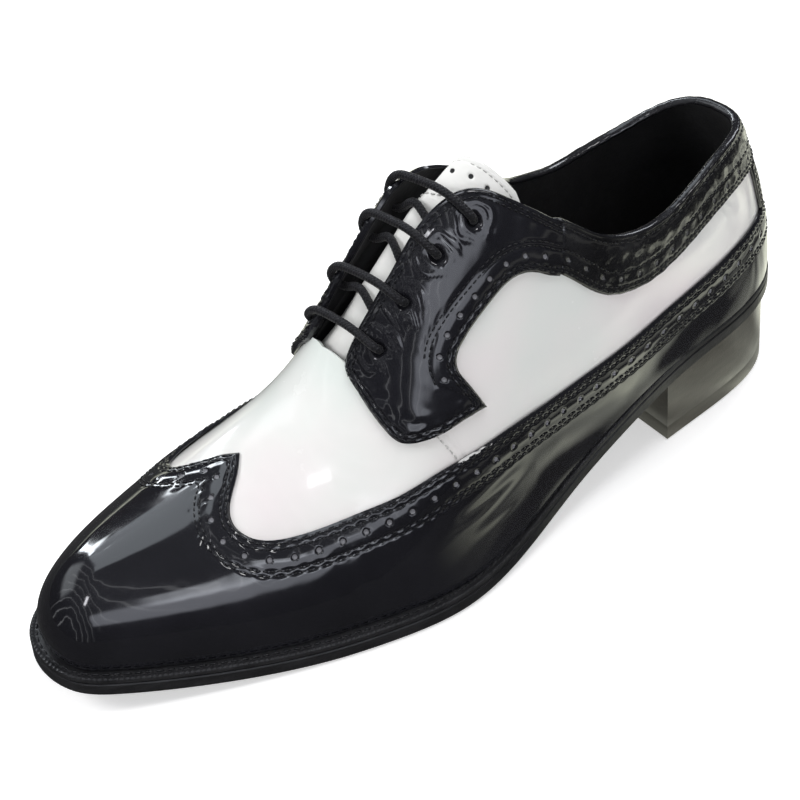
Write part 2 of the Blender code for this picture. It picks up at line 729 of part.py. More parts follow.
def make_lace(finish):
    """The lace: out of a medial eyelet, over to the lateral one, and back underneath to the next row."""
    above = PANEL_SEAT + FACING + LACE / 2 + 2 * SEAT
    below = -LACE / 2 - 3 * SEAT
    route = []
    for row, (outer, inner, girth) in enumerate(EYELETS):
        bar = []
        for lateral, walk, order in ((False, inner, 1), (True, outer, -1)):
            hole = last.plan(walk, girth, lateral)
            over = walk + (outer + inner - 2 * walk) * RIM_LEAN
            rim = last.plan(over, FLARE_FULL, lateral)
            stand = lift(walk, girth, lateral)
            stand_rim = lift(over, FLARE_FULL, lateral)
            side = [
                last.raised(hole, stand + below),
                last.raised(hole, stand + above),
                last.raised(rim, stand_rim + above),
            ]
            bar += side[::order]
        if row:
            start = last.plan(EYELETS[row - 1][0], EYELETS[row - 1][2], True)
            end = last.plan(inner, girth, False)
            place = start + (end - start) * np.array([[0.25], [0.5], [0.75]])
            across = (place[:, 0] - last.centre(place[:, 1])) / (BALL_WIDTH / 2)
            route += list(over_tongue(last.along(place[:, 1]), across, LACE / 2 + 3 * SEAT))
        route += bar
    points = rounded(route, LACE * 0.6)
    line = bpy.data.curves.new("lace", "CURVE")
    line.dimensions = "3D"
    line.bevel_depth = LACE / 2
    line.bevel_resolution = 2
    line.use_fill_caps = True
    spline = line.splines.new("POLY")
    spline.points.add(len(points) - 1)
    for i, point in enumerate(points):
        spline.points[i].co = (*point, 1)
    line.materials.append(finish)
    thing = bpy.data.objects.new("lace", line)
    bpy.context.scene.collection.objects.link(thing)
    return thing


def main():
    for old in list(bpy.data.objects):
        bpy.data.objects.remove(old)
    white = material("white_patent", (0.82, 0.82, 0.80), 0.12)
    black = material("black_patent", (0.012, 0.012, 0.015), 0.08)
    edge = material("dark_edge", (0.035, 0.036, 0.038), 0.45)
    lining = material("black_lining", (0.015, 0.015, 0.015), 0.7)
    waxed = material("waxed_lace", (0.02, 0.02, 0.022), 0.6)
    make_outsole(edge)
    make_welt(edge)
    make_heel(edge)
    make_insole(lining)
    make_upper(white)
    make_tongue(white)
    make_wing(black)
    make_band(black)
    make_strip(black)
    make_facing("facing_lateral", True, black)
    make_facing("facing_medial", False, black)
    make_lace(waxed)


main()
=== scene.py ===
from math import cos, pi, radians, sin

import bmesh
import bpy
import numpy as np
from mathutils import Matrix


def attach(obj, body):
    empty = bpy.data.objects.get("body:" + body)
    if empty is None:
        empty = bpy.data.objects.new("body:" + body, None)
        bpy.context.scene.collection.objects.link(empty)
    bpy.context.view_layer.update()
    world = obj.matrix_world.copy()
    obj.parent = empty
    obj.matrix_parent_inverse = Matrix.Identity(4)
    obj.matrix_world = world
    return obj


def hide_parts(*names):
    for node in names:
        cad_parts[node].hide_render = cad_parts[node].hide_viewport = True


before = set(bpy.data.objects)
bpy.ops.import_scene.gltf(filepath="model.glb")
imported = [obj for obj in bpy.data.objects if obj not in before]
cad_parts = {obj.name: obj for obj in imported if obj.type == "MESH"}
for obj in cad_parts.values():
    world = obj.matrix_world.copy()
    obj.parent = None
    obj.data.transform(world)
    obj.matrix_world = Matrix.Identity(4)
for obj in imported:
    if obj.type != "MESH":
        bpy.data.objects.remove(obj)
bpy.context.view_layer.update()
print("frame loaded")

# The shoe's own sizes, in metres, as the solids have them; the toe points to -Y and the outer side is +X
shoe = {
    "length": 0.300, "ballWidth": 0.111, "heelHeight": 0.0325, "heelLength": 0.068, "heelInset": 0.002,
    "sole": 0.005, "welt": 0.0025, "toeSpring": 0.0095, "instep": 0.090, "forefoot": 0.62,
    "toeBreak": 0.72, "toeRise": 1.65, "edgeAtHeel": 0.002, "edgeAtToe": 0.0055, "toeRound": 0.026,
    "heelRound": 0.038, "wall": 0.0018, "panel": 0.0012, "facing": 0.0020, "tongue": 0.0020,
    "insole": 0.0050, "lace": 0.0027, "rimLean": 0.3, "heart": 0.035, "eyelet": 0.0048,
    "seat": 0.0003, "panelSeat": 0.0004, "slotGirth": 0.68,
    "bandGirth": 0.12, "bandTop": 0.3565, "bandFoot": 0.3755, "flareFrom": 0.60, "flareFull": 0.86,
    "stripWalk": 0.072,
}
outline = [  # along, lateral, medial: the sole's edge in shares of half the ball width
    (0.000, 0.00, 0.00), (0.010, 0.28, 0.25), (0.045, 0.46, 0.47), (0.105, 0.575, 0.58),
    (0.180, 0.635, 0.60), (0.280, 0.70, 0.53), (0.380, 0.765, 0.48), (0.480, 0.90, 0.55),
    (0.580, 1.00, 0.76), (0.660, 0.95, 0.94), (0.730, 0.85, 0.98), (0.810, 0.70, 0.88),
    (0.890, 0.52, 0.70), (0.950, 0.365, 0.50), (0.985, 0.23, 0.31), (1.000, -0.05, 0.05),
]
archRows = [  # along, share of the heel's height
    (0.00, 1.000), (0.10, 0.925), (0.23, 0.810), (0.36, 0.420), (0.48, 0.100), (0.57, 0.012),
    (0.62, 0.000), (0.66, 0.000),
]
edgeRows = [(0.00, 0.0), (0.20, 0.0), (0.45, 0.3), (0.65, 1.0), (1.00, 1.0)]  # along, share
ridgeRows = [  # along, height over the feather line, shift to the medial side
    (0.00, 1.06, 0.00), (0.15, 1.14, 0.02), (0.28, 1.22, 0.09), (0.36, 1.26, 0.17), (0.44, 1.27, 0.25),
    (0.50, 1.19, 0.27), (0.54, 1.06, 0.26), (0.58, 0.90, 0.22), (0.62, 0.72, 0.16), (0.66, 0.59, 0.11),
    (0.74, 0.465, 0.04), (0.82, 0.395, 0.00), (0.90, 0.33, 0.00), (0.96, 0.26, 0.00), (1.00, 0.20, 0.00),
]
sectionRows = [  # along, bulge, rise, shoulder
    (0.00, 0.02, 0.42, 0.36), (0.15, 0.08, 0.42, 0.48), (0.30, 0.08, 0.40, 0.55), (0.45, 0.05, 0.40, 0.50),
    (0.60, 0.06, 0.42, 0.48), (0.75, 0.08, 0.45, 0.52), (0.90, 0.12, 0.50, 0.56), (1.00, 0.16, 0.52, 0.58),
]
collarRows = [  # walk, lateral girth, medial girth of the top line
    (0.000, 0.455, 0.455), (0.050, 0.460, 0.442), (0.100, 0.462, 0.405), (0.150, 0.445, 0.368),
    (0.200, 0.415, 0.352), (0.245, 0.405, 0.362), (0.290, 0.435, 0.415), (0.325, 0.495, 0.475),
    (0.358, 0.586, 0.570), (0.390, 0.645, 0.640), (0.420, 0.670, 0.670),
]
wingEdge = [  # walk, girth, foot, top
    (0.000, 0.205, 0.000, 0.000), (0.050, 0.208, 0.050, 0.050), (0.100, 0.207, 0.100, 0.100),
    (0.145, 0.196, 0.146, 0.145), (0.200, 0.182, 0.202, 0.200), (0.283, 0.184, 0.285, 0.283),
    (0.347, 0.205, 0.350, 0.347), (0.408, 0.236, 0.412, 0.408), (0.448, 0.262, 0.455, 0.448),
    (0.508, 0.308, 0.517, 0.505), (0.562, 0.368, 0.573, 0.552), (0.614, 0.432, 0.627, 0.593),
    (0.656, 0.485, 0.674, 0.606), (0.697, 0.522, 0.722, 0.625), (0.735, 0.562, 0.772, 0.640),
    (0.758, 0.618, 0.817, 0.652), (0.768, 0.698, 0.860, 0.663), (0.765, 0.776, 0.900, 0.674),
    (0.752, 0.846, 0.936, 0.686), (0.732, 0.920, 0.968, 0.698), (0.715, 1.000, 1.000, 0.708),
]
facingRows = [  # free walk, medial free walk, free girth, seam walk, seam girth, edge walk, edge girth
    (0.597, 0.598, 0.850, 0.599, 0.830, 0.600, 0.810), (0.590, 0.593, 0.864, 0.595, 0.740, 0.601, 0.680),
    (0.580, 0.587, 0.868, 0.587, 0.620, 0.596, 0.565), (0.568, 0.578, 0.866, 0.574, 0.565, 0.583, 0.503),
    (0.556, 0.568, 0.862, 0.562, 0.540, 0.560, 0.452), (0.546, 0.560, 0.860, 0.553, 0.535, 0.535, 0.420),
    (0.538, 0.553, 0.858, 0.547, 0.545, 0.504, 0.384), (0.530, 0.546, 0.856, 0.542, 0.565, 0.513, 0.455),
    (0.522, 0.539, 0.856, 0.535, 0.590, 0.519, 0.512), (0.512, 0.530, 0.858, 0.523, 0.610, 0.514, 0.541),
    (0.498, 0.518, 0.860, 0.505, 0.618, 0.497, 0.550), (0.478, 0.500, 0.858, 0.482, 0.617, 0.468, 0.554),
    (0.458, 0.480, 0.850, 0.458, 0.622, 0.444, 0.557), (0.439, 0.460, 0.832, 0.440, 0.626, 0.428, 0.553),
    (0.420, 0.437, 0.790, 0.424, 0.620, 0.414, 0.541), (0.398, 0.408, 0.712, 0.404, 0.598, 0.402, 0.522),
    (0.378, 0.382, 0.645, 0.384, 0.570, 0.389, 0.494), (0.3585, 0.3585, 0.583, 0.366, 0.535, 0.3775, 0.474),
]
facingTip = 6  # the row of the facing's pointed lower corner
flareRows = [  # walk, lateral, medial: how far the free edge stands up
    (0.358, 0.0000, 0.0000), (0.400, 0.0003, 0.0018), (0.440, 0.0006, 0.0025), (0.472, 0.0006, 0.0025),
    (0.505, 0.0005, 0.0014), (0.545, 0.0003, 0.0006), (0.575, 0.0001, 0.0001), (0.600, 0.0000, 0.0000),
]
eyeletRows = [  # lateral walk, medial walk, girth
    (0.570, 0.582, 0.758), (0.534, 0.552, 0.760), (0.491, 0.510, 0.752), (0.445, 0.477, 0.740),
]
tongueRows = [  # along, lateral, medial, depth
    (0.622, 0.250, -0.160, 0.0040), (0.605, 0.300, -0.180, 0.0050), (0.585, 0.330, -0.200, 0.0062),
    (0.560, 0.350, -0.220, 0.0066), (0.520, 0.370, -0.230, 0.0070), (0.480, 0.385, -0.230, 0.0068),
    (0.450, 0.390, -0.210, 0.0058), (0.427, 0.390, -0.110, 0.0048), (0.412, 0.385, 0.000, 0.0044),
    (0.398, 0.375, 0.110, 0.0042), (0.386, 0.350, 0.200, 0.0040),
]


def smoothCurve(knots, rows, closed=False):
    # the cubic through all rows whose bend is even at each knot
    knots = np.asarray(knots, float)
    rows = np.asarray(rows, float).reshape(len(knots), -1)
    count = len(knots)
    gap = np.diff(knots)
    left = np.zeros((count, count))
    right = np.zeros_like(rows)
    for i in range(1, count - 1):
        before, after = gap[i - 1], gap[i]
        left[i, i - 1:i + 2] = after, 2 * (before + after), before
        right[i] = 3 * (after * (rows[i] - rows[i - 1]) / before + before * (rows[i + 1] - rows[i]) / after)
    if closed:
        left[0, 0], left[0, -1] = 1, -1
        left[-1, [0, 1, -2, -1]] = 2 * gap[-1], gap[-1], gap[0], 2 * gap[0]
        right[-1] = 3 * (gap[0] * (rows[-1] - rows[-2]) / gap[-1] + gap[-1] * (rows[1] - rows[0]) / gap[0])
    else:
        left[0, :2] = 2, 1
        right[0] = 3 * (rows[1] - rows[0]) / gap[0]
        left[-1, -2:] = 1, 2
        right[-1] = 3 * (rows[-1] - rows[-2]) / gap[-1]
    slope = np.linalg.solve(left, right)

    def at(x):
        x = np.asarray(x, float)
        i = np.clip(np.searchsorted(knots, x, side="right") - 1, 0, count - 2)
        u = ((x - knots[i]) / gap[i])[..., None]
        span = gap[i][..., None]
        return ((1 + 2 * u) * (1 - u) ** 2 * rows[i] + u * (1 - u) ** 2 * span * slope[i]
                + u ** 2 * (3 - 2 * u) * rows[i + 1] + u ** 2 * (u - 1) * span * slope[i + 1])
    return at


def tableCurve(rows):
    rows = np.array(rows)
    return smoothCurve(rows[:, 0], rows[:, 1:])


def walkedAlong(points):
    # running sum of the steps between neighbours
    return np.concatenate([[0], np.cumsum(np.linalg.norm(np.diff(points, axis=0), axis=1))])


def alongOf(y):
    return np.clip(0.5 - np.asarray(y) / shoe["length"], 0, 1)


def makeSoleLoop():
    # the outline table as one closed curve, centred, with its unit inward direction
    half = shoe["ballWidth"] / 2
    along, lateral, medial = np.array(outline).T
    y = (0.5 - along) * shoe["length"]
    outer = np.stack([lateral * half, y], 1)
    inner = np.stack([-medial * half, y], 1)
    corners = np.concatenate([outer, inner[-2:0:-1], outer[:1]])
    walked = walkedAlong(corners)
    loop = smoothCurve(walked, corners, closed=True)(np.linspace(0, walked[-1], 6001))
    loop -= (loop.max(0) + loop.min(0)) / 2
    run = np.roll(loop[:-1], -1, axis=0) - np.roll(loop[:-1], 1, axis=0)
    run /= np.linalg.norm(run, axis=1)[:, None]
    inward = np.stack([run[:, 1], -run[:, 0]], 1)
    if np.sum(inward * loop[:-1]) > 0:
        inward = -inward
    return loop, np.concatenate([inward, inward[:1]])


soleLoop, loopInward = makeSoleLoop()
ridgeTable, sectionTable, archTable = tableCurve(ridgeRows), tableCurve(sectionRows), tableCurve(archRows)


def edgeWidth(y):
    share = np.interp(alongOf(y), *np.array(edgeRows).T)
    return shoe["edgeAtHeel"] + (shoe["edgeAtToe"] - shoe["edgeAtHeel"]) * share


def halvesOf(inset):
    # the loop moved inwards, as its lateral and medial halves from the heel's back to the toe
    loop = (soleLoop + loopInward * np.reshape(inset, (-1, 1)))[:-1]
    loop = np.roll(loop, -np.argmax(loop[:, 1]), axis=0)
    toe = np.argmin(loop[:, 1])
    one, two = loop[:toe + 1], np.concatenate([loop[toe:], loop[:1]])[::-1]
    return (one, two) if one[:, 0].mean() > two[:, 0].mean() else (two, one)


def featherTable():
    # the upper's lower edge, as walk, y, lateral x and medial x
    lateral, medial = halvesOf(edgeWidth(soleLoop[:, 1]))
    walked = walkedAlong(lateral)
    walk = np.linspace(0, 1, 2401)
    y = np.interp(walk * walked[-1], walked, lateral[:, 1])
    x = np.interp(walk * walked[-1], walked, lateral[:, 0])
    return walk, y, x, np.interp(-y, -medial[:, 1], medial[:, 0])


featherSides = featherTable()


def underside(y):
    # arch share times the heel's height, plus the toe spring past the toe's break
    along = alongOf(y)
    arch = np.where(along < shoe["forefoot"], np.maximum(archTable(along)[..., 0], 0), 0)
    toe = np.maximum(along - shoe["toeBreak"], 0) / (1 - shoe["toeBreak"])
    return arch * shoe["heelHeight"] + toe ** shoe["toeRise"] * shoe["toeSpring"]


def featherHeight(y):
    return underside(y) + shoe["sole"] + shoe["welt"]


def meridian(walk, lateral):
    # a meridian's two ends: on the feather line, and on the instep's ridge
    walks, ys, outer, inner = featherSides
    y = np.interp(walk, walks, ys)
    x = np.where(lateral, np.interp(walk, walks, outer), np.interp(walk, walks, inner))
    ridgeY = ys[-1] + np.sqrt((y - ys[-1]) ** 2 + shoe["toeRound"] ** 2)
    ridgeY = ys[0] - np.sqrt((ys[0] - ridgeY) ** 2 + shoe["heelRound"] ** 2)
    ridge = ridgeTable(alongOf(ridgeY))
    middle = (np.interp(-ridgeY, -ys, outer) + np.interp(-ridgeY, -ys, inner)) / 2
    ridgeX = middle - ridge[..., 1] * shoe["ballWidth"] / 2
    ridgeZ = featherHeight(ridgeY) + ridge[..., 0] * shoe["instep"]
    return np.stack([x, y, featherHeight(y)], -1), np.stack([ridgeX, ridgeY, ridgeZ], -1)


def onLast(walk, girth, lateral):
    # one cubic arc in an upright plane: reach falls from 1 to 0 and height climbs from 0 to 1 with the girth
    low, top = meridian(walk, lateral)
    bulge, rise, shoulder = np.moveaxis(sectionTable(alongOf(low[..., 1])), -1, 0)
    girth = np.asarray(girth, float)
    first = 3 * (1 - girth) ** 2 * girth
    second = 3 * (1 - girth) * girth ** 2
    reach = (1 - girth) ** 3 + first * (1 + bulge) + second * shoulder
    height = first * rise + second + girth ** 3
    flat = top[..., :2] + (low[..., :2] - top[..., :2]) * reach[..., None]
    z = low[..., 2] + (top[..., 2] - low[..., 2]) * height
    return np.concatenate([flat, z[..., None]], -1)


def planOf(walk, girth, lateral):
    low, top = meridian(walk, lateral)
    return (low + (top - low) * np.asarray(girth, float)[..., None])[..., :2]


def centreLine(y):
    low, top = meridian(np.linspace(0, 1, 601), True)
    line = np.concatenate([low[:1], top, low[-1:]])
    return np.interp(-np.asarray(y), -line[:, 1], line[:, 0])


def unplan(place):
    # halving: the walk whose spoke passes through the place, then the share of the way up that spoke
    lateral = place[..., 0] >= centreLine(place[..., 1])
    lowWalk, highWalk = np.zeros(place.shape[:-1]), np.ones(place.shape[:-1])
    for _ in range(30):
        walk = (lowWalk + highWalk) / 2
        low, top = meridian(walk, lateral)
        spoke, arm = (low - top)[..., :2], place - top[..., :2]
        turn = spoke[..., 0] * arm[..., 1] - spoke[..., 1] * arm[..., 0]
        behind = np.where(lateral, turn > 0, turn < 0)
        highWalk = np.where(behind, walk, highWalk)
        lowWalk = np.where(behind, lowWalk, walk)
    low, top = meridian(walk, lateral)
    spoke = (top - low)[..., :2]
    girth = np.sum((place - low[..., :2]) * spoke, -1) / np.sum(spoke ** 2, -1)
    return walk, girth, lateral


def onPattern(place):
    return onLast(*unplan(place))


def normalsOf(points, ring=False):
    # the cross product of the steps along the two directions of a grid, pointed away from the foot
    if ring:
        wrapped = np.concatenate([points[-1:], points, points[:1]])
        along = wrapped[2:] - wrapped[:-2]
    else:
        along = np.gradient(points, axis=0)
    normal = np.cross(along, np.gradient(points, axis=1))
    normal /= np.maximum(np.linalg.norm(normal, axis=-1), 1e-12)[..., None]
    heart = np.stack([0 * points[..., 0], points[..., 1] * 0.85, 0 * points[..., 2] + 0.02], -1)
    return normal if np.sum(normal * (points - heart)) > 0 else -normal


def lastNormals(place):
    # square to the last: the cross product of small steps across and along the pattern
    step = 0.0003
    across = onPattern(place + [step, 0]) - onPattern(place - [step, 0])
    length = onPattern(place + [0, step]) - onPattern(place - [0, step])
    normal = np.cross(across, length)
    return normal / np.linalg.norm(normal, axis=-1)[..., None]


def lastRaised(place, height):
    # a point of the last moved by a height square to its surface
    return onPattern(place) + lastNormals(place) * np.asarray(height)[..., None]


def shareAt(walked, wanted):
    # for each column, the share of its samples where the walked distance is the wanted one
    count = walked.shape[1]
    index = np.clip((walked[:, None, :] <= wanted[:, :, None]).sum(-1) - 1, 0, count - 2)
    low, high = np.take_along_axis(walked, index, 1), np.take_along_axis(walked, index + 1, 1)
    return np.clip((index + (wanted - low) / (high - low)) / (count - 1), 0, 1)


def columnsDown(start, end, near, nearCount, farCount):
    # places from start to end of each column: close rows over the near distance, then wider ones
    fine = np.linspace(0, 1, 70)[None, :, None]
    points = onPattern(start[:, None] + (end - start)[:, None] * fine)
    walked = np.cumsum(np.linalg.norm(np.diff(points, axis=1), axis=-1), axis=1)
    walked = np.concatenate([0 * walked[:, :1], walked], 1)
    total = walked[:, -1:]
    close = np.minimum(near, total * 0.75) * np.linspace(0, 1, nearCount)[None]
    wide = close[:, -1:] + (total - close[:, -1:]) * np.linspace(0, 1, farCount + 1)[None, 1:]
    share = shareAt(walked, np.concatenate([close, wide], 1))
    return start[:, None] + (end - start)[:, None] * share[..., None]


def nearestGap(points, marks):
    # the distance from each point to the nearest mark, as the root of p.p + m.m - 2 p.m
    flat = points.reshape(-1, 3)
    found = np.empty(len(flat))
    squares = np.sum(marks ** 2, 1)[None]
    for i in range(0, len(flat), 6000):
        part = flat[i:i + 6000]
        gap = np.sum(part ** 2, 1)[:, None] + squares - 2 * part @ marks.T
        found[i:i + 6000] = np.sqrt(np.maximum(gap.min(1), 0))
    return found.reshape(points.shape[:-1])


def lineWhere(field, level, *grids):
    # per column, the first place where the field reaches the level, read from each grid
    above = field >= level
    keep = above.any(1) & ~above[:, 0]
    index = np.maximum(np.argmax(above, 1), 1)
    rows = np.arange(len(field))
    low, high = field[rows, index - 1], field[rows, index]
    share = ((level - low) / np.maximum(high - low, 1e-9))[:, None]
    return [(grid[rows, index - 1] * (1 - share) + grid[rows, index] * share)[keep] for grid in grids]


def evenSteps(line, pitch, *others):
    # places at even steps along a line, from half a step in, read from the line and from others along it
    walked = walkedAlong(line)
    wanted = np.arange(pitch / 2, walked[-1], pitch)
    def read(values):
        return np.stack([np.interp(wanted, walked, values[:, k]) for k in range(values.shape[1])], 1)
    return [read(line)] + [read(other) for other in others]


def softStep(value, low, high):
    share = np.clip((value - low) / (high - low), 0, 1)
    return share * share * (3 - 2 * share)


def waves(points, size, seed, count=14):
    # a sum of sine waves in scattered directions, between about -1 and 1
    pick = np.random.default_rng(seed)
    way = pick.normal(size=(count, 3))
    way /= np.linalg.norm(way, axis=1)[:, None]
    way *= (2 * pi / size) * pick.uniform(0.7, 1.4, (count, 1))
    phase = pick.uniform(0, 2 * pi, count)
    total = np.zeros(points.shape[:-1])
    for k in range(count):
        total += np.sin(points @ way[k] + phase[k])
    return total / np.sqrt(count / 2) / 1.6


def ride(piece, slotName, *nodes):
    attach(piece, "root")
    if nodes:
        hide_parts(*nodes)
    return piece


def meshPiece(name, points, faces, finish, attributes=None, merge=0, sharp=None):
    mesh = bpy.data.meshes.new(name)
    mesh.from_pydata(points.reshape(-1, 3), [], faces)
    mesh.update()
    for key, values in (attributes or {}).items():
        layer = mesh.attributes.new(key, "FLOAT", "POINT")
        layer.data.foreach_set("value", np.ascontiguousarray(values, dtype=np.float32).ravel())
    work = bmesh.new()
    work.from_mesh(mesh)
    if merge:
        bmesh.ops.remove_doubles(work, verts=work.verts, dist=merge)
    bmesh.ops.recalc_face_normals(work, faces=work.faces)
    work.to_mesh(mesh)
    work.free()
    mesh.shade_smooth()
    if sharp:
        mesh.set_sharp_from_angle(angle=radians(sharp))
    mesh.materials.append(finish)
    piece = bpy.data.objects.new(name, mesh)
    bpy.context.scene.collection.objects.link(piece)
    return piece


def gridQuads(rows, columns, closedRows, closedColumns):
    # corner numbers of a grid's quads, wrapping round where a direction is closed
    i = np.arange(rows if closedRows else rows - 1)[:, None]
    j = np.arange(columns if closedColumns else columns - 1)[None]
    a, b = i * columns + j, (i + 1) % rows * columns + j
    c, d = (i + 1) % rows * columns + (j + 1) % columns, i * columns + (j + 1) % columns
    return np.stack([a, b, c, d], -1)


def tubeFaces(rows, turns):
    # the quads of a tube and its two capped ends
    last = (rows - 1) * turns
    return gridQuads(rows, turns, False, True).reshape(-1, 4).tolist() + [
        list(range(turns)), [last + k for k in range(turns)][::-1]]


def bodyBetween(name, outer, inner, finish, ring=False, attributes=None, shut=None, merge=0, sharp=50):
    # a closed body: out along one face and back along the other, with capped ends where it isn't a ring
    columns = outer.shape[1] + inner.shape[1]
    points = np.concatenate([outer, inner[:, ::-1]], 1)
    quads = gridQuads(len(points), columns, ring, True)
    if shut is not None:  # columns that meet over the ridge have no rim there
        closed = shut & np.roll(shut, -1)
        keep = np.ones(quads.shape[:2], bool)
        keep[closed[:len(quads)], outer.shape[1] - 1] = False
        quads = quads[keep]
    faces = quads.reshape(-1, 4).tolist() if ring else tubeFaces(len(points), columns)
    full = {}
    for key, values in (attributes or {}).items():
        full[key] = np.concatenate([values, np.full(inner.shape[:2], values.max())], 1)
    return meshPiece(name, points, faces, finish, full, merge, sharp)


def threadBits(line, normals, thread, lift=0.0):
    # short round-ended threads along a line: a ring's radius swells from the ends to the middle
    spots, ups = evenSteps(line, thread["pitch"], normals)
    if len(spots) < 3:
        return np.zeros((0, 3)), np.zeros((0, 4), int)
    way = np.gradient(spots, axis=0)
    stretch = np.linalg.norm(way, axis=1)
    good = stretch < 1.8 * thread["pitch"]
    spots, ups, way = spots[good], ups[good], way[good] / stretch[good, None]
    ups = ups / np.linalg.norm(ups, axis=1)[:, None]
    side = np.cross(way, ups)
    turn = np.arange(6) * pi / 3
    shape = np.array([(-0.5, 0.35), (-0.30, 0.95), (0.30, 0.95), (0.5, 0.35)])
    dip = np.array([-0.5, 0.25, 0.25, -0.5]) * thread["radius"]
    ring = np.cos(turn)[:, None, None] * side + np.sin(turn)[:, None, None] * ups  # turn, spot, xyz
    bits = (spots[:, None, None] + way[:, None, None] * (shape[:, 0] * thread["length"])[None, :, None, None]
            + ups[:, None, None] * (dip + lift)[None, :, None, None]
            + np.moveaxis(ring, 0, 1)[:, None] * (shape[:, 1] * thread["radius"])[None, :, None, None])
    quads = gridQuads(4, 6, False, True).reshape(-1, 4)
    ends = np.array([[0, 1, 2, 3], [0, 3, 4, 5], [21, 20, 19, 18], [23, 22, 21, 18]])
    quads = np.concatenate([quads, ends])
    faces = quads[None] + (np.arange(len(spots)) * 24)[:, None, None]
    return bits.reshape(-1, 3), faces.reshape(-1, 4)


def threadPiece(name, rows, finish):
    points, faces, count = [], [], 0
    for bits, quads in rows:
        points.append(bits)
        faces.append(quads + count)
        count += len(bits)
    return meshPiece(name, np.concatenate(points), np.concatenate(faces).tolist(), finish)


def addNode(tree, kind, inputs=None, **settings):
    node = tree.nodes.new(kind)
    for key, value in settings.items():
        setattr(node, key, value)
    for key, value in (inputs or {}).items():
        if isinstance(value, bpy.types.NodeSocket):
            tree.links.new(value, node.inputs[key])
        else:
            node.inputs[key].default_value = value
    return node


def addRamp(tree, value, stops):
    node = addNode(tree, "ShaderNodeValToRGB", {"Fac": value})
    ramp = node.color_ramp
    while len(ramp.elements) < len(stops):
        ramp.elements.new(0.5)
    for element, (place, colour) in zip(ramp.elements, stops):
        element.position = place
        element.color = (*colour, 1)
    return node.outputs["Color"]


def addNoise(tree, scale, detail=4, roughness=0.5, stretch=None, distortion=0):
    place = addNode(tree, "ShaderNodeTexCoord").outputs["Object"]
    if stretch:
        place = addNode(tree, "ShaderNodeMapping", {"Vector": place, "Scale": stretch}).outputs["Vector"]
    return addNode(tree, "ShaderNodeTexNoise", {
        "Vector": place, "Scale": scale, "Detail": detail, "Roughness": roughness,
        "Distortion": distortion}).outputs["Fac"]


def addBump(tree, height, distance, before=None):
    inputs = {"Height": height, "Distance": distance, "Strength": 1.0}
    if before is not None:
        inputs["Normal"] = before
    return addNode(tree, "ShaderNodeBump", inputs).outputs["Normal"]


def newFinish(name, plain):
    finish = bpy.data.materials.new(name)
    finish.use_nodes = True
    tree = finish.node_tree
    shader = tree.nodes["Principled BSDF"]
    for key, value in plain.items():
        shader.inputs[key].default_value = value
    return finish, tree, shader


def setInput(tree, shader, key, value):
    tree.links.new(value, shader.inputs[key])


def patentFinish(name, look):
    # lacquered leather: a dark or pale ground under a clear coat, with a faint swell and a fine skin, and
    # painted shade in its punched holes
    finish, tree, shader = newFinish(name, {
        "Specular IOR Level": 0.5, "Coat Weight": look["coat"], "Coat Roughness": look["coatRoughness"],
        "Coat IOR": 1.5})
    cloud = addNoise(tree, look["cloudScale"], 3, 0.5)
    ground = addRamp(tree, cloud, look["ground"])
    fine = addNoise(tree, 900, 2, 0.5)
    rough = addNode(tree, "ShaderNodeMapRange", {
        "Value": addNoise(tree, 60, 5, 0.6), "From Min": 0.3, "From Max": 0.75,
        "To Min": look["rough"][0], "To Max": look["rough"][1]}).outputs["Result"]
    normal = addBump(tree, addNoise(tree, look["swellScale"], 2, 0.4), look["swell"])
    normal = addBump(tree, fine, look["skin"], normal)
    if "crackle" in look:
        cells = addNode(tree, "ShaderNodeTexVoronoi", {
            "Vector": addNode(tree, "ShaderNodeTexCoord").outputs["Object"], "Scale": look["crackleScale"],
            "Randomness": 1.0}, feature="SMOOTH_F1").outputs["Distance"]
        normal = addBump(tree, cells, look["crackle"], normal)
    # painted shade: inside each punched hole a flat colour replaces the ground, standing in for the shaded
    # floor of the hole
    if "hole" in look:
        gap = addNode(tree, "ShaderNodeAttribute", attribute_name="hole").outputs["Fac"]
        inside = addNode(tree, "ShaderNodeMapRange", {
            "Value": gap, "From Min": 0.86, "From Max": 1.0, "To Min": 1.0, "To Max": 0.0}).outputs["Result"]
        ground = mixColour(tree, inside, ground, look["hole"])
    setInput(tree, shader, "Base Color", ground)
    setInput(tree, shader, "Roughness", rough)
    setInput(tree, shader, "Normal", normal)
    return finish


def mixColour(tree, factor, first, second):
    node = tree.nodes.new("ShaderNodeMix")
    node.data_type = "RGBA"
    for socket, value in ((node.inputs[0], factor), (node.inputs[6], first), (node.inputs[7], second)):
        if isinstance(value, bpy.types.NodeSocket):
            tree.links.new(value, socket)
        elif isinstance(value, (int, float)):
            socket.default_value = value
        else:
            socket.default_value = (*value, 1)
    return node.outputs[2]


def matrixOf(*columns):
    return Matrix([(*row,) for row in np.column_stack(columns)] + [(0, 0, 0, 1)])


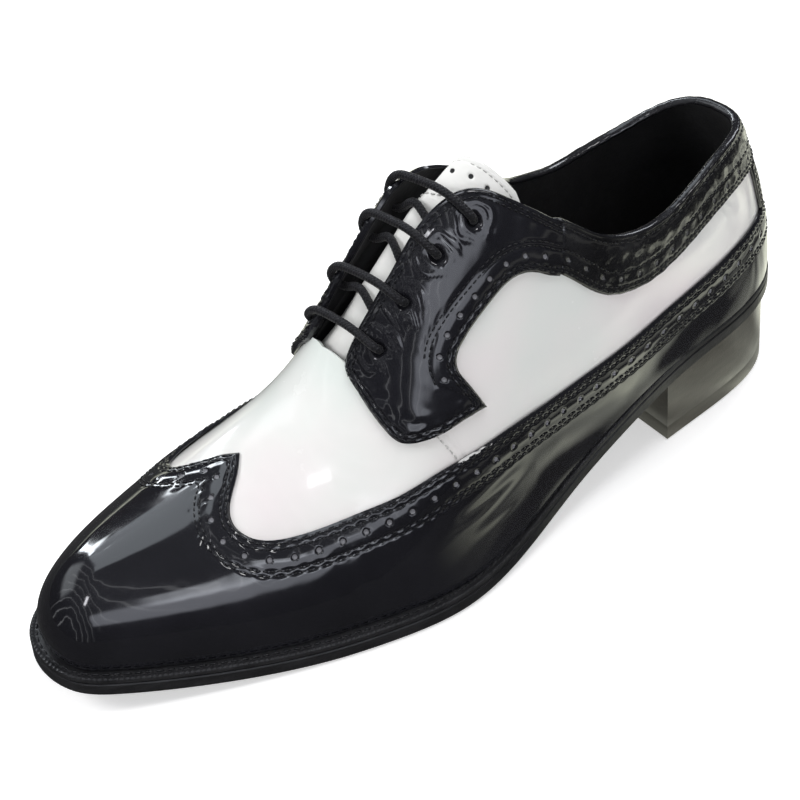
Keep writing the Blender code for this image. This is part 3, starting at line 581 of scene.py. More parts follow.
def makeCamera():
    # the camera stands back from the shoe's middle at the photograph's angle, a little rolled
    look = {"azimuth": 55.906, "elevation": 38.864, "roll": -4.608, "distance": 0.7549,
            "aim": 0.050, "focusPixels": 2251.5, "middleX": 16.281, "middleY": -18.522, "frame": 800}
    azimuth, elevation, roll = (radians(look[key]) for key in ("azimuth", "elevation", "roll"))
    back = np.array([sin(azimuth) * cos(elevation), -cos(azimuth) * cos(elevation), sin(elevation)])
    right = np.array([cos(azimuth), sin(azimuth), 0])
    up = np.cross(back, right)
    across = cos(roll) * right + sin(roll) * up
    upward = -sin(roll) * right + cos(roll) * up
    place = np.array([0, 0, look["aim"]]) + back * look["distance"]
    lens = bpy.data.cameras.new("photo_camera")
    lens.sensor_width = 36
    lens.lens = look["focusPixels"] / look["frame"] * 36
    lens.shift_x = -look["middleX"] / look["frame"]
    lens.shift_y = look["middleY"] / look["frame"]
    lens.clip_start, lens.clip_end = 0.01, 50
    camera = bpy.data.objects.new("photo_camera", lens)
    camera.matrix_world = matrixOf(across, upward, back, place)
    bpy.context.scene.collection.objects.link(camera)
    bpy.context.scene.camera = camera


makeCamera()

# hole colours here are painted shade: the white upper under each punched hole, greyed as if in the hole's
# shadow
blackPatent = patentFinish("black_patent", {
    "coat": 1.0, "coatRoughness": 0.025, "cloudScale": 30, "rough": (0.08, 0.16),
    "ground": [(0.3, (0.005, 0.005, 0.0065)), (0.7, (0.010, 0.010, 0.013))],
    "swellScale": 55, "swell": 0.00030, "skin": 0.0000035, "hole": (0.21, 0.21, 0.23)})
crinkledPatent = patentFinish("crinkled_black_patent", {
    "coat": 1.0, "coatRoughness": 0.06, "cloudScale": 60, "rough": (0.16, 0.34),
    "ground": [(0.3, (0.004, 0.004, 0.005)), (0.7, (0.012, 0.012, 0.014))],
    "swellScale": 220, "swell": 0.00018, "skin": 0.00002, "crackle": 0.00014, "crackleScale": 800,
    "hole": (0.10, 0.10, 0.10)})
whitePatent = patentFinish("white_patent", {
    "coat": 0.9, "coatRoughness": 0.05, "cloudScale": 17, "rough": (0.16, 0.30),
    "ground": [(0.30, (0.74, 0.79, 0.76)), (0.5, (0.80, 0.795, 0.78)), (0.70, (0.81, 0.755, 0.765))],
    "swellScale": 34, "swell": 0.0006, "skin": 0.000003})
# the tongue's near-black hole colour is painted shade of the shoe's dark inside, seen through its holes
whiteTongue = patentFinish("white_tongue", {
    "coat": 0.25, "coatRoughness": 0.22, "cloudScale": 80, "rough": (0.35, 0.5),
    "ground": [(0.3, (0.76, 0.77, 0.75)), (0.7, (0.83, 0.83, 0.81))],
    "swellScale": 160, "swell": 0.0003, "skin": 0.00004, "crackle": 0.00005, "crackleScale": 900,
    "hole": (0.012, 0.012, 0.012)})


def leatherFinish(name, look):
    # matt leather, rubber or stacked board: mottled ground, pores and a brushed or grained bump
    finish, tree, shader = newFinish(name, {
        "Specular IOR Level": look["specular"], "Coat Weight": look["coat"],
        "Coat Roughness": look["coatRoughness"], "Sheen Weight": look["sheen"], "Sheen Roughness": 0.5})
    ground = addRamp(tree, addNoise(tree, look["cloudScale"], 6, 0.6, look.get("stretch")), look["ground"])
    rough = addNode(tree, "ShaderNodeMapRange", {
        "Value": addNoise(tree, look["cloudScale"] * 2.5, 4, 0.6), "From Min": 0.3, "From Max": 0.7,
        "To Min": look["rough"][0], "To Max": look["rough"][1]}).outputs["Result"]
    pores = addNode(tree, "ShaderNodeTexVoronoi", {
        "Vector": addNode(tree, "ShaderNodeTexCoord").outputs["Object"], "Scale": look["grainScale"]},
        feature="SMOOTH_F1").outputs["Distance"]
    normal = addBump(tree, pores, look["grain"])
    normal = addBump(tree, addNoise(tree, look["grainScale"] * 0.3, 5, 0.6, look.get("stretch")),
                     look["grain"] * 1.5, normal)
    setInput(tree, shader, "Base Color", ground)
    setInput(tree, shader, "Roughness", rough)
    setInput(tree, shader, "Normal", normal)
    return finish


liningLeather = leatherFinish("black_lining", {
    "specular": 0.35, "coat": 0.0, "coatRoughness": 0.5, "sheen": 0.06, "cloudScale": 55,
    "ground": [(0.3, (0.004, 0.004, 0.0045)), (0.7, (0.011, 0.011, 0.012))], "rough": (0.55, 0.75),
    "grainScale": 1100, "grain": 0.00006})
soleEdge = leatherFinish("dark_edge", {
    "specular": 0.45, "coat": 0.25, "coatRoughness": 0.3, "sheen": 0.0, "cloudScale": 90,
    "ground": [(0.3, (0.008, 0.008, 0.009)), (0.7, (0.022, 0.022, 0.024))], "rough": (0.34, 0.55),
    "grainScale": 1300, "grain": 0.00005, "stretch": (1, 1, 5)})
heelStack = leatherFinish("heel_stack", {
    "specular": 0.5, "coat": 0.5, "coatRoughness": 0.22, "sheen": 0.0, "cloudScale": 45,
    "ground": [(0.3, (0.040, 0.036, 0.028)), (0.7, (0.070, 0.063, 0.050))], "rough": (0.28, 0.42),
    "grainScale": 1500, "grain": 0.00003, "stretch": (1, 1, 6)})
waxedCord = leatherFinish("waxed_lace", {
    "specular": 0.5, "coat": 0.15, "coatRoughness": 0.35, "sheen": 0.1, "cloudScale": 400,
    "ground": [(0.3, (0.004, 0.004, 0.005)), (0.7, (0.011, 0.011, 0.014))], "rough": (0.32, 0.5),
    "grainScale": 2600, "grain": 0.00005})
blackThread = leatherFinish("black_thread", {
    "specular": 0.6, "coat": 0.35, "coatRoughness": 0.25, "sheen": 0.0, "cloudScale": 500,
    "ground": [(0.3, (0.004, 0.004, 0.005)), (0.7, (0.014, 0.014, 0.016))], "rough": (0.22, 0.4),
    "grainScale": 3500, "grain": 0.00004})
paleThread = leatherFinish("pale_thread", {
    "specular": 0.5, "coat": 0.2, "coatRoughness": 0.3, "sheen": 0.0, "cloudScale": 500,
    "ground": [(0.3, (0.42, 0.42, 0.41)), (0.7, (0.62, 0.62, 0.60))], "rough": (0.4, 0.6),
    "grainScale": 3500, "grain": 0.00004})
print("finishes made")

upperThread = {"pitch": 0.0023, "length": 0.0017, "radius": 0.00027}
stitching = []
paleStitching = []


def opening(walk, lateral):
    # the top edge: the collar table, then the slot's edge, then closed over the forefoot
    collar = tableCurve(collarRows)(np.minimum(walk, collarRows[-1][0]))
    line = np.where(lateral, collar[..., 0], collar[..., 1])
    slot = np.interp(walk, [0.593, 0.5995], [shoe["slotGirth"], 1.0])
    return np.where(walk > collarRows[-1][0], slot, line)


def wingColumns(count):
    # the ring of columns round the shoe: their feet, the wing's edge and the upper's top edge
    steps = np.arange(len(wingEdge))
    fine = np.linspace(0, steps[-1], count)
    half = tableCurve([(i, *row) for i, row in zip(steps, wingEdge)])(fine)
    half[:, 3] = np.interp(fine, steps, np.array(wingEdge)[:, 3])
    half[-1] = wingEdge[-1]
    ring = np.concatenate([half, half[-2:0:-1]])
    lateral = np.arange(len(ring)) < len(half)
    walk, girth, foot, top = ring.T
    edge = opening(top, lateral)
    low, middle = planOf(foot, 0 * foot, lateral), planOf(walk, girth, lateral)
    return low, middle, planOf(top, edge, lateral), edge >= 0.9999


def grooves(gap, rows, look):
    # one soft trough for each stitch row: -depth * exp(-((gap - row) / width)^2)
    total = 0 * gap
    for row in rows:
        total -= look["stitchDepth"] * np.exp(-((gap - row) / look["stitchWidth"]) ** 2)
    return total


def puckers(gap, rows, edge, depth):
    # the leather drawn down at every second stitch: a row's trough swells and sinks along the edge
    turn = pi * walkedAlong(edge)[:, None] / upperThread["pitch"] + 0 * gap
    total = 0 * gap
    for i, row in enumerate(rows):
        total -= depth * np.exp(-((gap - row) / 0.0006) ** 2) * np.cos(turn + i * pi)
    return total


def dimples(gap, look):
    # a smooth step down from just outside a hole's radius to just inside it
    radius = look["holeRadius"]
    return -look["holeDepth"] * (1 - softStep(gap, radius * 0.72, radius * 1.15))


def rolled(gap, depth, width):
    # an edge rounded off over a width
    return -depth * (1 - softStep(gap, 0, width))


def dotsGap(base, field, grid, look):
    # how far each point of a panel is from the nearest of the dots at even steps along their row
    (line,) = lineWhere(field, look["holeRow"], grid)
    (dots,) = evenSteps(line, look["holePitch"])
    return nearestGap(base, dots)


def sew(field, rows, outer, normals, lift, kept=stitching):
    for row in rows:
        kept.append(threadBits(*lineWhere(field, row, outer, normals), upperThread, lift))


def troughs(points, folds):
    # each fold is a soft trough beside a low ridge, fading to the ends of its line between two places
    total = np.zeros(points.shape[:-1])
    share = np.linspace(0, 1, 60)
    for (walkA, girthA), (walkB, girthB), lateral, depth, width in folds:
        walk, girth = walkA + (walkB - walkA) * share, girthA + (girthB - girthA) * share
        line = onLast(walk, girth, np.full(60, lateral))
        apart = np.linalg.norm(points[..., None, :] - line, axis=-1)
        near = apart.min(-1)
        fade = depth * np.sin(pi * share[apart.argmin(-1)])
        total -= fade * np.exp(-(near / width) ** 2)
        total += 0.6 * fade * np.exp(-((near - 1.9 * width) / width) ** 2)
    return total


flexFolds = [  # start (walk, girth), end (walk, girth), lateral, depth, width
    ((0.580, 0.225), (0.470, 0.175), True, 0.00020, 0.0019),
    ((0.565, 0.150), (0.480, 0.120), True, 0.00016, 0.0016),
    ((0.700, 0.22), (0.686, 0.42), True, 0.00010, 0.0032),
    ((0.664, 0.18), (0.652, 0.38), True, 0.00012, 0.0034),
    ((0.628, 0.15), (0.620, 0.32), True, 0.00010, 0.0032),
    ((0.690, 0.24), (0.676, 0.46), False, 0.00022, 0.0030),
    ((0.655, 0.20), (0.640, 0.42), False, 0.00022, 0.0032),
    ((0.735, 0.36), (0.722, 0.50), False, 0.00014, 0.0028),
]
quarterFolds = [
    ((0.300, 0.30), (0.330, 0.42), True, 0.00030, 0.0030),
    ((0.300, 0.28), (0.325, 0.40), False, 0.00030, 0.0030),
    ((0.120, 0.28), (0.150, 0.36), True, 0.00022, 0.0026),
    ((0.440, 0.34), (0.470, 0.30), True, 0.00015, 0.0022),
]


def makeWing():
    wing = {
        "columns": 600, "near": 0.0138, "nearRows": 31, "farRows": 33, "backRows": 8,
        "edgeStitch": (0.0014, 0.0031), "innerStitch": (0.0098, 0.0113),
        "stitchDepth": 0.00022, "stitchWidth": 0.00042, "pucker": 0.00012,
        "holeRow": 0.0063, "holePitch": 0.0081, "holeRadius": 0.00090, "holeDepth": 0.0008,
        "ridge": 0.00030, "ridgeWidth": 0.0026, "roll": 0.0008, "rollWidth": 0.0011,
        "wave": 0.00010, "waveSize": 0.012,
    }
    low, middle, _, _ = wingColumns(wing["columns"])
    place = columnsDown(middle, low, wing["near"], wing["nearRows"], wing["farRows"])
    base, normals = onPattern(place), lastNormals(place)
    gap = nearestGap(base, base[:, 0])
    rows = wing["edgeStitch"] + wing["innerStitch"]
    holeGap = dotsGap(base, gap, base, wing)
    rise = shoe["panelSeat"] + shoe["panel"] + grooves(gap, rows, wing)
    rise += wing["ridge"] * np.exp(-((gap - wing["holeRow"]) / wing["ridgeWidth"]) ** 2)
    rise += puckers(gap, rows, base[:, 0], wing["pucker"]) + dimples(holeGap, wing)
    rise += rolled(gap, wing["roll"], wing["rollWidth"])
    rise += wing["wave"] * waves(base, wing["waveSize"], 5) * np.exp(-(gap / wing["waveSize"]) ** 2)
    rise += troughs(base, flexFolds)
    outer = base + normals * rise[..., None]
    share = np.linspace(0, 1, wing["backRows"])[None, :, None]
    inner = onPattern(middle[:, None] + (low - middle)[:, None] * share)
    inner += normalsOf(inner, ring=True) * shoe["panelSeat"]
    for grid in (outer, inner):
        grid[:, -1, 2] = featherHeight(grid[:, -1, 1]) + shoe["seat"]
    piece = bodyBetween("wing_cap_patent", outer, inner, blackPatent, True,
                        {"hole": holeGap / wing["holeRadius"]})
    sew(gap, rows, outer, normals, 0.00012)
    return ride(piece, "black_patent", "wing_cap")


def makeUpper():
    upper = {"columns": 420, "rows": 64, "backRows": 9, "under": 0.12, "skin": 0.0011,
             "wave": 0.00012, "waveSize": 0.030, "seamDepth": 0.00045, "seamWidth": 0.0006,
             "seamWalk": (0.5565, 0.5360), "seamGirth": (0.46, 0.29), "seamStitch": 0.006}
    low, middle, high, shut = wingColumns(upper["columns"])
    start = middle + (low - middle) * upper["under"]
    share = np.linspace(0, 1, upper["rows"])[None, :, None]
    place = start[:, None] + (high - start)[:, None] * share
    base, normals = onPattern(place), lastNormals(place)
    rise = upper["wave"] * waves(base, upper["waveSize"], 8) + troughs(base, flexFolds + quarterFolds)
    for lateral in (True, False):
        walk, girth = np.linspace(*upper["seamWalk"], 40), np.linspace(*upper["seamGirth"], 40)
        near = nearestGap(base, onLast(walk, girth, np.full(40, lateral)))
        rise -= upper["seamDepth"] * np.exp(-(near / upper["seamWidth"]) ** 2)
        seam = planOf(walk + upper["seamStitch"], girth, np.full(40, lateral))
        paleStitching.append(threadBits(onPattern(seam), lastNormals(seam), upperThread, 0.0001))
    outer = base + normals * rise[..., None]
    rows = np.linspace(0, 1, upper["backRows"])[None, :, None]
    place = start[:, None] + (high - start)[:, None] * rows
    inner = onPattern(place) - lastNormals(place) * upper["skin"]
    piece = bodyBetween("white_quarters_and_vamp", outer, inner, whitePatent, True, None, shut, 0.00002)
    return ride(piece, "white_patent", "upper")


def makeLining():
    lining = {"columns": 220, "rows": 44, "outer": 0.00115, "wrinkle": 0.00015, "wrinkleSize": 0.018}
    low, _, high, shut = wingColumns(lining["columns"])
    share = np.linspace(0, 1, lining["rows"])[None, :, None] ** 0.9
    place = low[:, None] + (high - low)[:, None] * share
    base, normals = onPattern(place), lastNormals(place)
    wrinkle = lining["wrinkle"] * waves(base, lining["wrinkleSize"], 11) * np.sin(pi * share[..., 0]) ** 0.5
    inner = base - normals * (shoe["wall"] + wrinkle)[..., None]
    outer = base - normals * lining["outer"]
    for grid in (outer, inner):
        grid[:, 0, 2] = featherHeight(grid[:, 0, 1]) + shoe["seat"]
    piece = bodyBetween("lining", outer, inner, liningLeather, True, None, shut, 0.00002)
    return ride(piece, "sock_lining")


def makeBand():
    band = {
        "columns": 430, "rows": 34, "backRows": 6, "under": 0.0040, "narrow": 0.012,
        "lowStitch": (0.0013, 0.0028), "innerStitch": (0.0078,), "topStitch": (0.0016,),
        "stitchDepth": 0.00022, "stitchWidth": 0.00042, "topDepth": 0.0002, "topWidth": 0.0004,
        "holeRow": 0.0052, "holePitch": 0.0080, "holeRadius": 0.0008, "holeDepth": 0.0005,
        "crinkle": 0.00011, "crinkleSize": 0.0060, "padding": 0.00035, "paddingRow": 0.0045,
        "paddingWidth": 0.0025, "roll": 0.0008, "rollWidth": 0.0010, "sunk": 0.00035,
    }
    share = np.linspace(0, 1, band["columns"])
    share = np.concatenate([share[::-1], share[1:]])
    lateral = np.arange(len(share)) < band["columns"]
    front, foot = shoe["bandTop"] + band["under"], shoe["bandFoot"] + band["under"]
    top = opening(share * front, lateral)
    deep = shoe["bandGirth"] - band["narrow"] * softStep(share, 0.86, 0.99)
    def placesOf(rows):
        down = np.linspace(0, 1, rows)
        walk = share[:, None] * (front + (foot - front) * down)
        return planOf(walk, top[:, None] - deep[:, None] * down, lateral[:, None])
    base = onPattern(placesOf(band["rows"]))
    normals = normalsOf(base)
    gapLow, gapTop = nearestGap(base, base[:, -1]), nearestGap(base, base[:, 0])
    back = gapLow[:, ::-1]
    lowRows = band["lowStitch"] + band["innerStitch"]
    holeGap = dotsGap(base, back, base[:, ::-1], band)
    rise = shoe["panelSeat"] + shoe["panel"] + grooves(gapLow, lowRows, band)
    topLook = {"stitchDepth": band["topDepth"], "stitchWidth": band["topWidth"]}
    rise += grooves(gapTop, band["topStitch"], topLook)
    rise += band["crinkle"] * waves(base, band["crinkleSize"], 21)
    rise += band["padding"] * np.exp(-((gapTop - band["paddingRow"]) / band["paddingWidth"]) ** 2)
    rise += dimples(holeGap, band) + rolled(gapLow, band["roll"], band["rollWidth"])
    rise -= band["sunk"] * softStep(share, 0.986, 0.990)[:, None]  # where it lies under the facing's end
    outer = base + normals * rise[..., None]
    inner = onPattern(placesOf(band["backRows"]))
    inner += normalsOf(inner) * shoe["panelSeat"]
    piece = bodyBetween("collar_band_patent", outer, inner, crinkledPatent, False,
                        {"hole": holeGap / band["holeRadius"]})
    sew(back, lowRows, outer[:, ::-1], normals[:, ::-1], 0.0001)
    sew(gapTop, band["topStitch"], outer, normals, 0.0001)
    return ride(piece, "black_patent", "collar_band")


def makeBinding():
    # an oval carried along the top line: out from the wall by the cosine, up along it by the sine
    binding = {"half": 360, "across": 0.00185, "along": 0.0012, "centre": -0.0001, "turns": 18,
               "under": 0.0095, "thin": 0.8, "wave": 0.00008, "waveSize": 0.004}
    share = np.linspace(0, 1, binding["half"])
    share = np.concatenate([share[::-1], share[1:]])
    lateral = np.arange(len(share)) < binding["half"]
    walk = share * (shoe["bandTop"] + binding["under"])
    top = opening(walk, lateral)
    edge = onPattern(planOf(walk, top, lateral))
    below = onPattern(planOf(walk, top - 0.02, lateral))
    up = edge - below
    up /= np.linalg.norm(up, axis=1)[:, None]
    run = np.gradient(edge, axis=0)
    out = np.cross(run, up)
    out /= np.linalg.norm(out, axis=1)[:, None]
    out *= np.sign(np.sum(out * (edge - [0, 0.07, 0.09])))
    turn = np.arange(binding["turns"]) * 2 * pi / binding["turns"]
    wide = np.cos(turn)[None, :, None] * binding["across"] + binding["centre"]
    tall = np.sin(turn)[None, :, None] * binding["along"]
    size = (1 - binding["thin"] * softStep(share, 0.972, 1.0))[:, None, None]  # thinner under the facing
    grid = edge[:, None] + (out[:, None] * wide + up[:, None] * tall) * size
    grid += out[:, None] * (binding["wave"] * waves(grid, binding["waveSize"], 31))[..., None]
    far = {"hole": 9 + 0 * grid[..., 0]}  # no dots
    piece = meshPiece("collar_binding", grid, tubeFaces(*grid.shape[:2]), crinkledPatent, far)
    return ride(piece, "black_patent")


def makeStrip():
    strip = {"columns": 150, "rows": 60, "backRows": 5, "stitch": (0.0013, 0.0027), "gap": 0.006,
             "stitchDepth": 0.0002, "stitchWidth": 0.0004, "wave": 0.00010, "waveSize": 0.010,
             "roll": 0.0008, "rollWidth": 0.0010}
    walks = np.linspace(0, shoe["stripWalk"], strip["columns"] // 2)
    walk = np.concatenate([walks[::-1], walks[1:]])
    lateral = np.arange(len(walk)) < len(walks)
    low = np.interp(walk, *np.array(wingEdge)[:5, :2].T) + strip["gap"]
    high = opening(walk, lateral) - shoe["bandGirth"] - strip["gap"]
    def placesOf(rows):
        girth = low[:, None] + (high - low)[:, None] * np.linspace(0, 1, rows)
        return planOf(walk[:, None] + 0 * girth, girth, lateral[:, None])
    base = onPattern(placesOf(strip["rows"]))
    normals = normalsOf(base)
    gap = nearestGap(base, np.concatenate([base[0], base[-1]]))
    rise = shoe["panelSeat"] + shoe["panel"] + grooves(gap, strip["stitch"], strip)
    rise += strip["wave"] * waves(base, strip["waveSize"], 41)
    rise += rolled(gap, strip["roll"], strip["rollWidth"])
    outer = base + normals * rise[..., None]
    inner = onPattern(placesOf(strip["backRows"]))
    inner += normalsOf(inner) * shoe["panelSeat"]
    piece = bodyBetween("back_strip_patent", outer, inner, blackPatent, False, {"hole": 9 + 0 * gap})
    turned, outer, normals = (np.swapaxes(grid, 0, 1) for grid in (gap, outer, normals))
    half = turned.shape[1] // 2
    for part in (slice(0, half), slice(None, half, -1)):
        sew(turned[:, part], strip["stitch"], outer[:, part], normals[:, part], 0.0001)
    return ride(piece, "black_patent", "back_strip")


def throughRows(rows, perRow, corner=None):
    # cubic pieces through all rows; a corner row has no slope, so the line turns sharply there
    rows = np.asarray(rows, float)
    slope = np.gradient(rows, axis=0)
    if corner is not None:
        slope[corner] = 0
    count = (len(rows) - 1) * perRow + 1
    x = np.linspace(0, len(rows) - 1, count)
    i = np.minimum(x.astype(int), len(rows) - 2)
    u = (x - i)[:, None]
    return ((1 + 2 * u) * (1 - u) ** 2 * rows[i] + u * (1 - u) ** 2 * slope[i]
            + u ** 2 * (3 - 2 * u) * rows[i + 1] + u ** 2 * (u - 1) * slope[i + 1])


def liftOf(walk, girth, lateral):
    # the facing's stand off the last: flare of the walk times the share of the way to the free edge
    flare = tableCurve(flareRows)(np.clip(walk, flareRows[0][0], flareRows[-1][0]))
    share = np.clip((girth - shoe["flareFrom"]) / (shoe["flareFull"] - shoe["flareFrom"]), 0, 1)
    return np.where(lateral, flare[..., 0], flare[..., 1]) * share ** 1.5


def makeFacing(name, lateral):
    facing = {
        "perRow": 22, "inner": 26, "outer": 26, "backInner": 5, "backOuter": 4,
        "edgeStitch": (0.0013, 0.0028), "freeStitch": (0.0016, 0.0031), "innerStitch": (0.0086, 0.0101),
        "stitchDepth": 0.00024, "freeDepth": 0.0002, "stitchWidth": 0.00045, "pucker": 0.00014,
        "holeRow": 0.0055, "holePitch": 0.0074, "holeRadius": 0.00085, "holeDepth": 0.0007,
        "ridge": 0.00025, "ridgeWidth": 0.0024, "crumple": 0.00013, "crumpleSize": 0.0045,
        "crumpleReach": 0.0075,
        "bend": 0.0008, "bendSize": 0.007, "wave": 0.00010, "waveSize": 0.0085, "flap": (0.0125, 0.0165),
        "eyeletDepth": 0.0013, "eyeletFloor": 0.0013, "eyeletRim": 0.0004,
        "roll": 0.0009, "rollWidth": 0.0010, "flushLength": 0.009,
    }
    chains = ((0.0018, 0.00018, 0.0006), (0.0040, 0.00030, 0.0007))  # round the eyelets: far, tall, wide
    rows = throughRows(facingRows, facing["perRow"])
    sharp = throughRows(facingRows, facing["perRow"], facingTip)
    free = planOf(rows[:, 0 if lateral else 1], rows[:, 2], lateral)
    seam = planOf(rows[:, 3], rows[:, 4], lateral)
    edge = planOf(sharp[:, 5], sharp[:, 6], lateral)
    def placesOf(innerCount, outerCount):
        one = np.linspace(0, 1, innerCount)[None, :, None]
        two = np.linspace(0, 1, outerCount + 1)[None, 1:, None]
        return np.concatenate([free[:, None] + (seam - free)[:, None] * one,
                               seam[:, None] + (edge - seam)[:, None] * two], 1)
    place = placesOf(facing["inner"], facing["outer"])
    walk, girth, _ = unplan(place)
    base = onPattern(place)
    normals = normalsOf(base)
    gapEdge, gapFree, gapFront, gapRear = (
        nearestGap(base, line) for line in (base[:, -1], base[:, 0], base[0], base[-1]))
    back = gapEdge[:, ::-1]
    past = slice(facingTip * facing["perRow"] + 6, None)  # the holes start behind the pointed corner
    behind = softStep(np.arange(len(base)), past.start - 6, past.start + 8)[:, None]
    holeGap = dotsGap(base, back[past], base[past, ::-1], facing)
    eyelets = [onPattern(planOf(np.array([outer if lateral else inner]), np.array([up]), lateral))[0]
               for outer, inner, up in eyeletRows]
    eyeletGap = nearestGap(base, np.array(eyelets))
    rise = shoe["panelSeat"] + liftOf(walk, girth, lateral) + shoe["facing"]
    rise += grooves(gapEdge, facing["edgeStitch"], facing)
    rise += grooves(gapEdge, facing["innerStitch"], facing) * behind
    rise += puckers(gapEdge, facing["edgeStitch"], base[:, -1], facing["pucker"])
    near = np.exp(-(gapEdge / facing["crumpleReach"]) ** 2) * (1 - behind)
    rise += facing["crumple"] * waves(base, facing["crumpleSize"], 54) * near
    rise += facing["ridge"] * np.exp(-((gapEdge - facing["holeRow"]) / facing["ridgeWidth"]) ** 2) * behind
    rise += grooves(gapFree, facing["freeStitch"], {**facing, "stitchDepth": facing["freeDepth"]})
    rise += dimples(holeGap, facing)
    bent = np.maximum(eyeletGap - shoe["eyelet"] / 2, 0)
    bent = bent + facing["bend"] * waves(base, facing["bendSize"], 52)
    flap = 1 - softStep(gapFree, *facing["flap"])
    for ring, tall, width in chains:
        rise += tall * np.exp(-((bent - ring) / width) ** 2) * flap
    rise += facing["wave"] * waves(base, facing["waveSize"], 53) * flap
    rim = shoe["eyelet"] / 2 + facing["eyeletRim"]
    rise -= facing["eyeletDepth"] * (1 - softStep(eyeletGap, facing["eyeletFloor"], rim))
    gapRound = np.minimum(np.minimum(gapEdge, gapFront), gapFree)
    rise += rolled(gapRound, facing["roll"], facing["rollWidth"])
    flush = shoe["facing"] - shoe["panel"] - 0.0001  # thinner at its rear, to meet the collar band
    rise += rolled(gapRear, flush, facing["flushLength"])
    outer = base + normals * rise[..., None]
    innerPlace = placesOf(facing["backInner"], facing["backOuter"])
    innerWalk, innerGirth, _ = unplan(innerPlace)
    inner = onPattern(innerPlace)
    inner += normalsOf(inner) * (shoe["panelSeat"] + liftOf(innerWalk, innerGirth, lateral))[..., None]
    piece = bodyBetween(name + "_patent", outer, inner, blackPatent, False,
                        {"hole": holeGap / facing["holeRadius"]})
    outerBack, normalsBack = outer[:, ::-1], normals[:, ::-1]
    sew(back, facing["edgeStitch"], outerBack, normalsBack, 0.00012)
    sew(back[past], facing["innerStitch"], outerBack[past], normalsBack[past], 0.00012)
    sew(gapFree, facing["freeStitch"], outer, normals, 0.00012)
    return ride(piece, "black_patent", name)


def makeFlapLining(name, lateral):
    # under the facing at its free edge, then down inside the wall past the quarter's own edge
    flap = {"perRow": 10, "rows": 30, "low": 0.60, "thick": 0.0004, "climb": (0.004, 0.034), "below": 0.0002,
            "seat": 0.00004, "wave": 0.00006, "waveSize": 0.010}
    rows = throughRows(facingRows, flap["perRow"])
    girth = rows[:, 2:3] + (flap["low"] - rows[:, 2:3]) * np.linspace(0.012, 1, flap["rows"])[None]
    girth = np.minimum(girth, rows[:, 2:3])
    walk = rows[:, 0 if lateral else 1][:, None] + 0 * girth
    base = onPattern(planOf(walk, girth, lateral))
    normals = normalsOf(base)
    over = softStep(girth, *(shoe["slotGirth"] + share for share in flap["climb"]))
    stand = shoe["panelSeat"] + liftOf(walk, girth, lateral) - flap["seat"]
    depth = shoe["wall"] + flap["below"]
    height = (stand + depth) * over - depth + flap["wave"] * (waves(base, flap["waveSize"], 71) - 1)
    outer = base + normals * height[..., None]
    inner = base + normals * (height - flap["thick"])[..., None]
    return ride(bodyBetween(name, outer, inner, liningLeather), "sock_lining")


def overTongue(along, across, height):
    # a point of the last moved towards the foot's middle by the tongue's depth, less a height
    rows = np.array(tongueRows)[::-1]
    depth = np.interp(along, rows[:, 0], rows[:, 3]) - height
    y = (0.5 - along) * shoe["length"]
    middle = centreLine(y)
    step = 0.001
    crown, ahead = (onPattern(np.stack([centreLine(at), at], -1)) for at in (y, y - step))
    fall = (ahead - crown)[..., 2] / step
    back = np.stack([0 * y, -fall, -np.ones_like(y)], -1) / np.sqrt(1 + fall ** 2)[..., None]
    heart = crown + back * shoe["heart"] + [shoe["heart"] / 4, 0, 0]
    point = onPattern(np.stack([middle + across * shoe["ballWidth"] / 2, y], -1))
    way = heart - point
    return point + way * (depth / np.linalg.norm(way, axis=-1))[..., None]


def downwards(grid):
    # columns as rows, with the first row last
    return np.swapaxes(grid[::-1], 0, 1)


def makeTongue():
    tongue = {
        "rows": 15, "columns": 56, "stitch": (0.0022,), "stitchDepth": 0.0002, "stitchWidth": 0.0004,
        "holeRow": 0.0060, "holePitch": 0.0066, "holeRadius": 0.00095, "holeDepth": 0.0006,
        "seamRow": 0.0125, "seamDepth": 0.0004, "seamWidth": 0.0006, "seamStitch": 0.0012,
        "wave": 0.00015, "waveSize": 0.016, "roll": 0.0005, "rollWidth": 0.0009,
    }
    rows = throughRows(tongueRows, tongue["rows"])
    along, outer, inner = rows[:, 0:1], rows[:, 1:2], rows[:, 2:3]
    across = outer + (inner - outer) * np.linspace(0, 1, tongue["columns"])[None]
    along = along + 0 * across
    base = overTongue(along, across, 0)
    normals = normalsOf(base)
    gap = nearestGap(base, np.concatenate([base[-1], base[-60:, -1]]))
    rimGap = nearestGap(base, np.concatenate([base[-1], base[:, 0], base[:, -1]]))
    holeGap = dotsGap(base, downwards(gap), downwards(base), tongue)
    rise = dimples(holeGap, tongue) + grooves(gap, tongue["stitch"], tongue)
    seamLook = {"stitchDepth": tongue["seamDepth"], "stitchWidth": tongue["seamWidth"]}
    rise += grooves(gap, (tongue["seamRow"],), seamLook)
    rise += tongue["wave"] * waves(base, tongue["waveSize"], 61)
    rise += rolled(rimGap, tongue["roll"], tongue["rollWidth"])
    outerFace = base + normals * rise[..., None]
    innerFace = overTongue(along, across, -shoe["tongue"])
    piece = bodyBetween("tongue_leather", outerFace, innerFace, whiteTongue, False,
                        {"hole": holeGap / tongue["holeRadius"]})
    seams = tongue["stitch"] + (tongue["seamRow"] + tongue["seamStitch"],)
    sew(downwards(gap), seams, downwards(outerFace), downwards(normals), 0.00012, paleStitching)
    return ride(piece, "white_patent", "tongue")


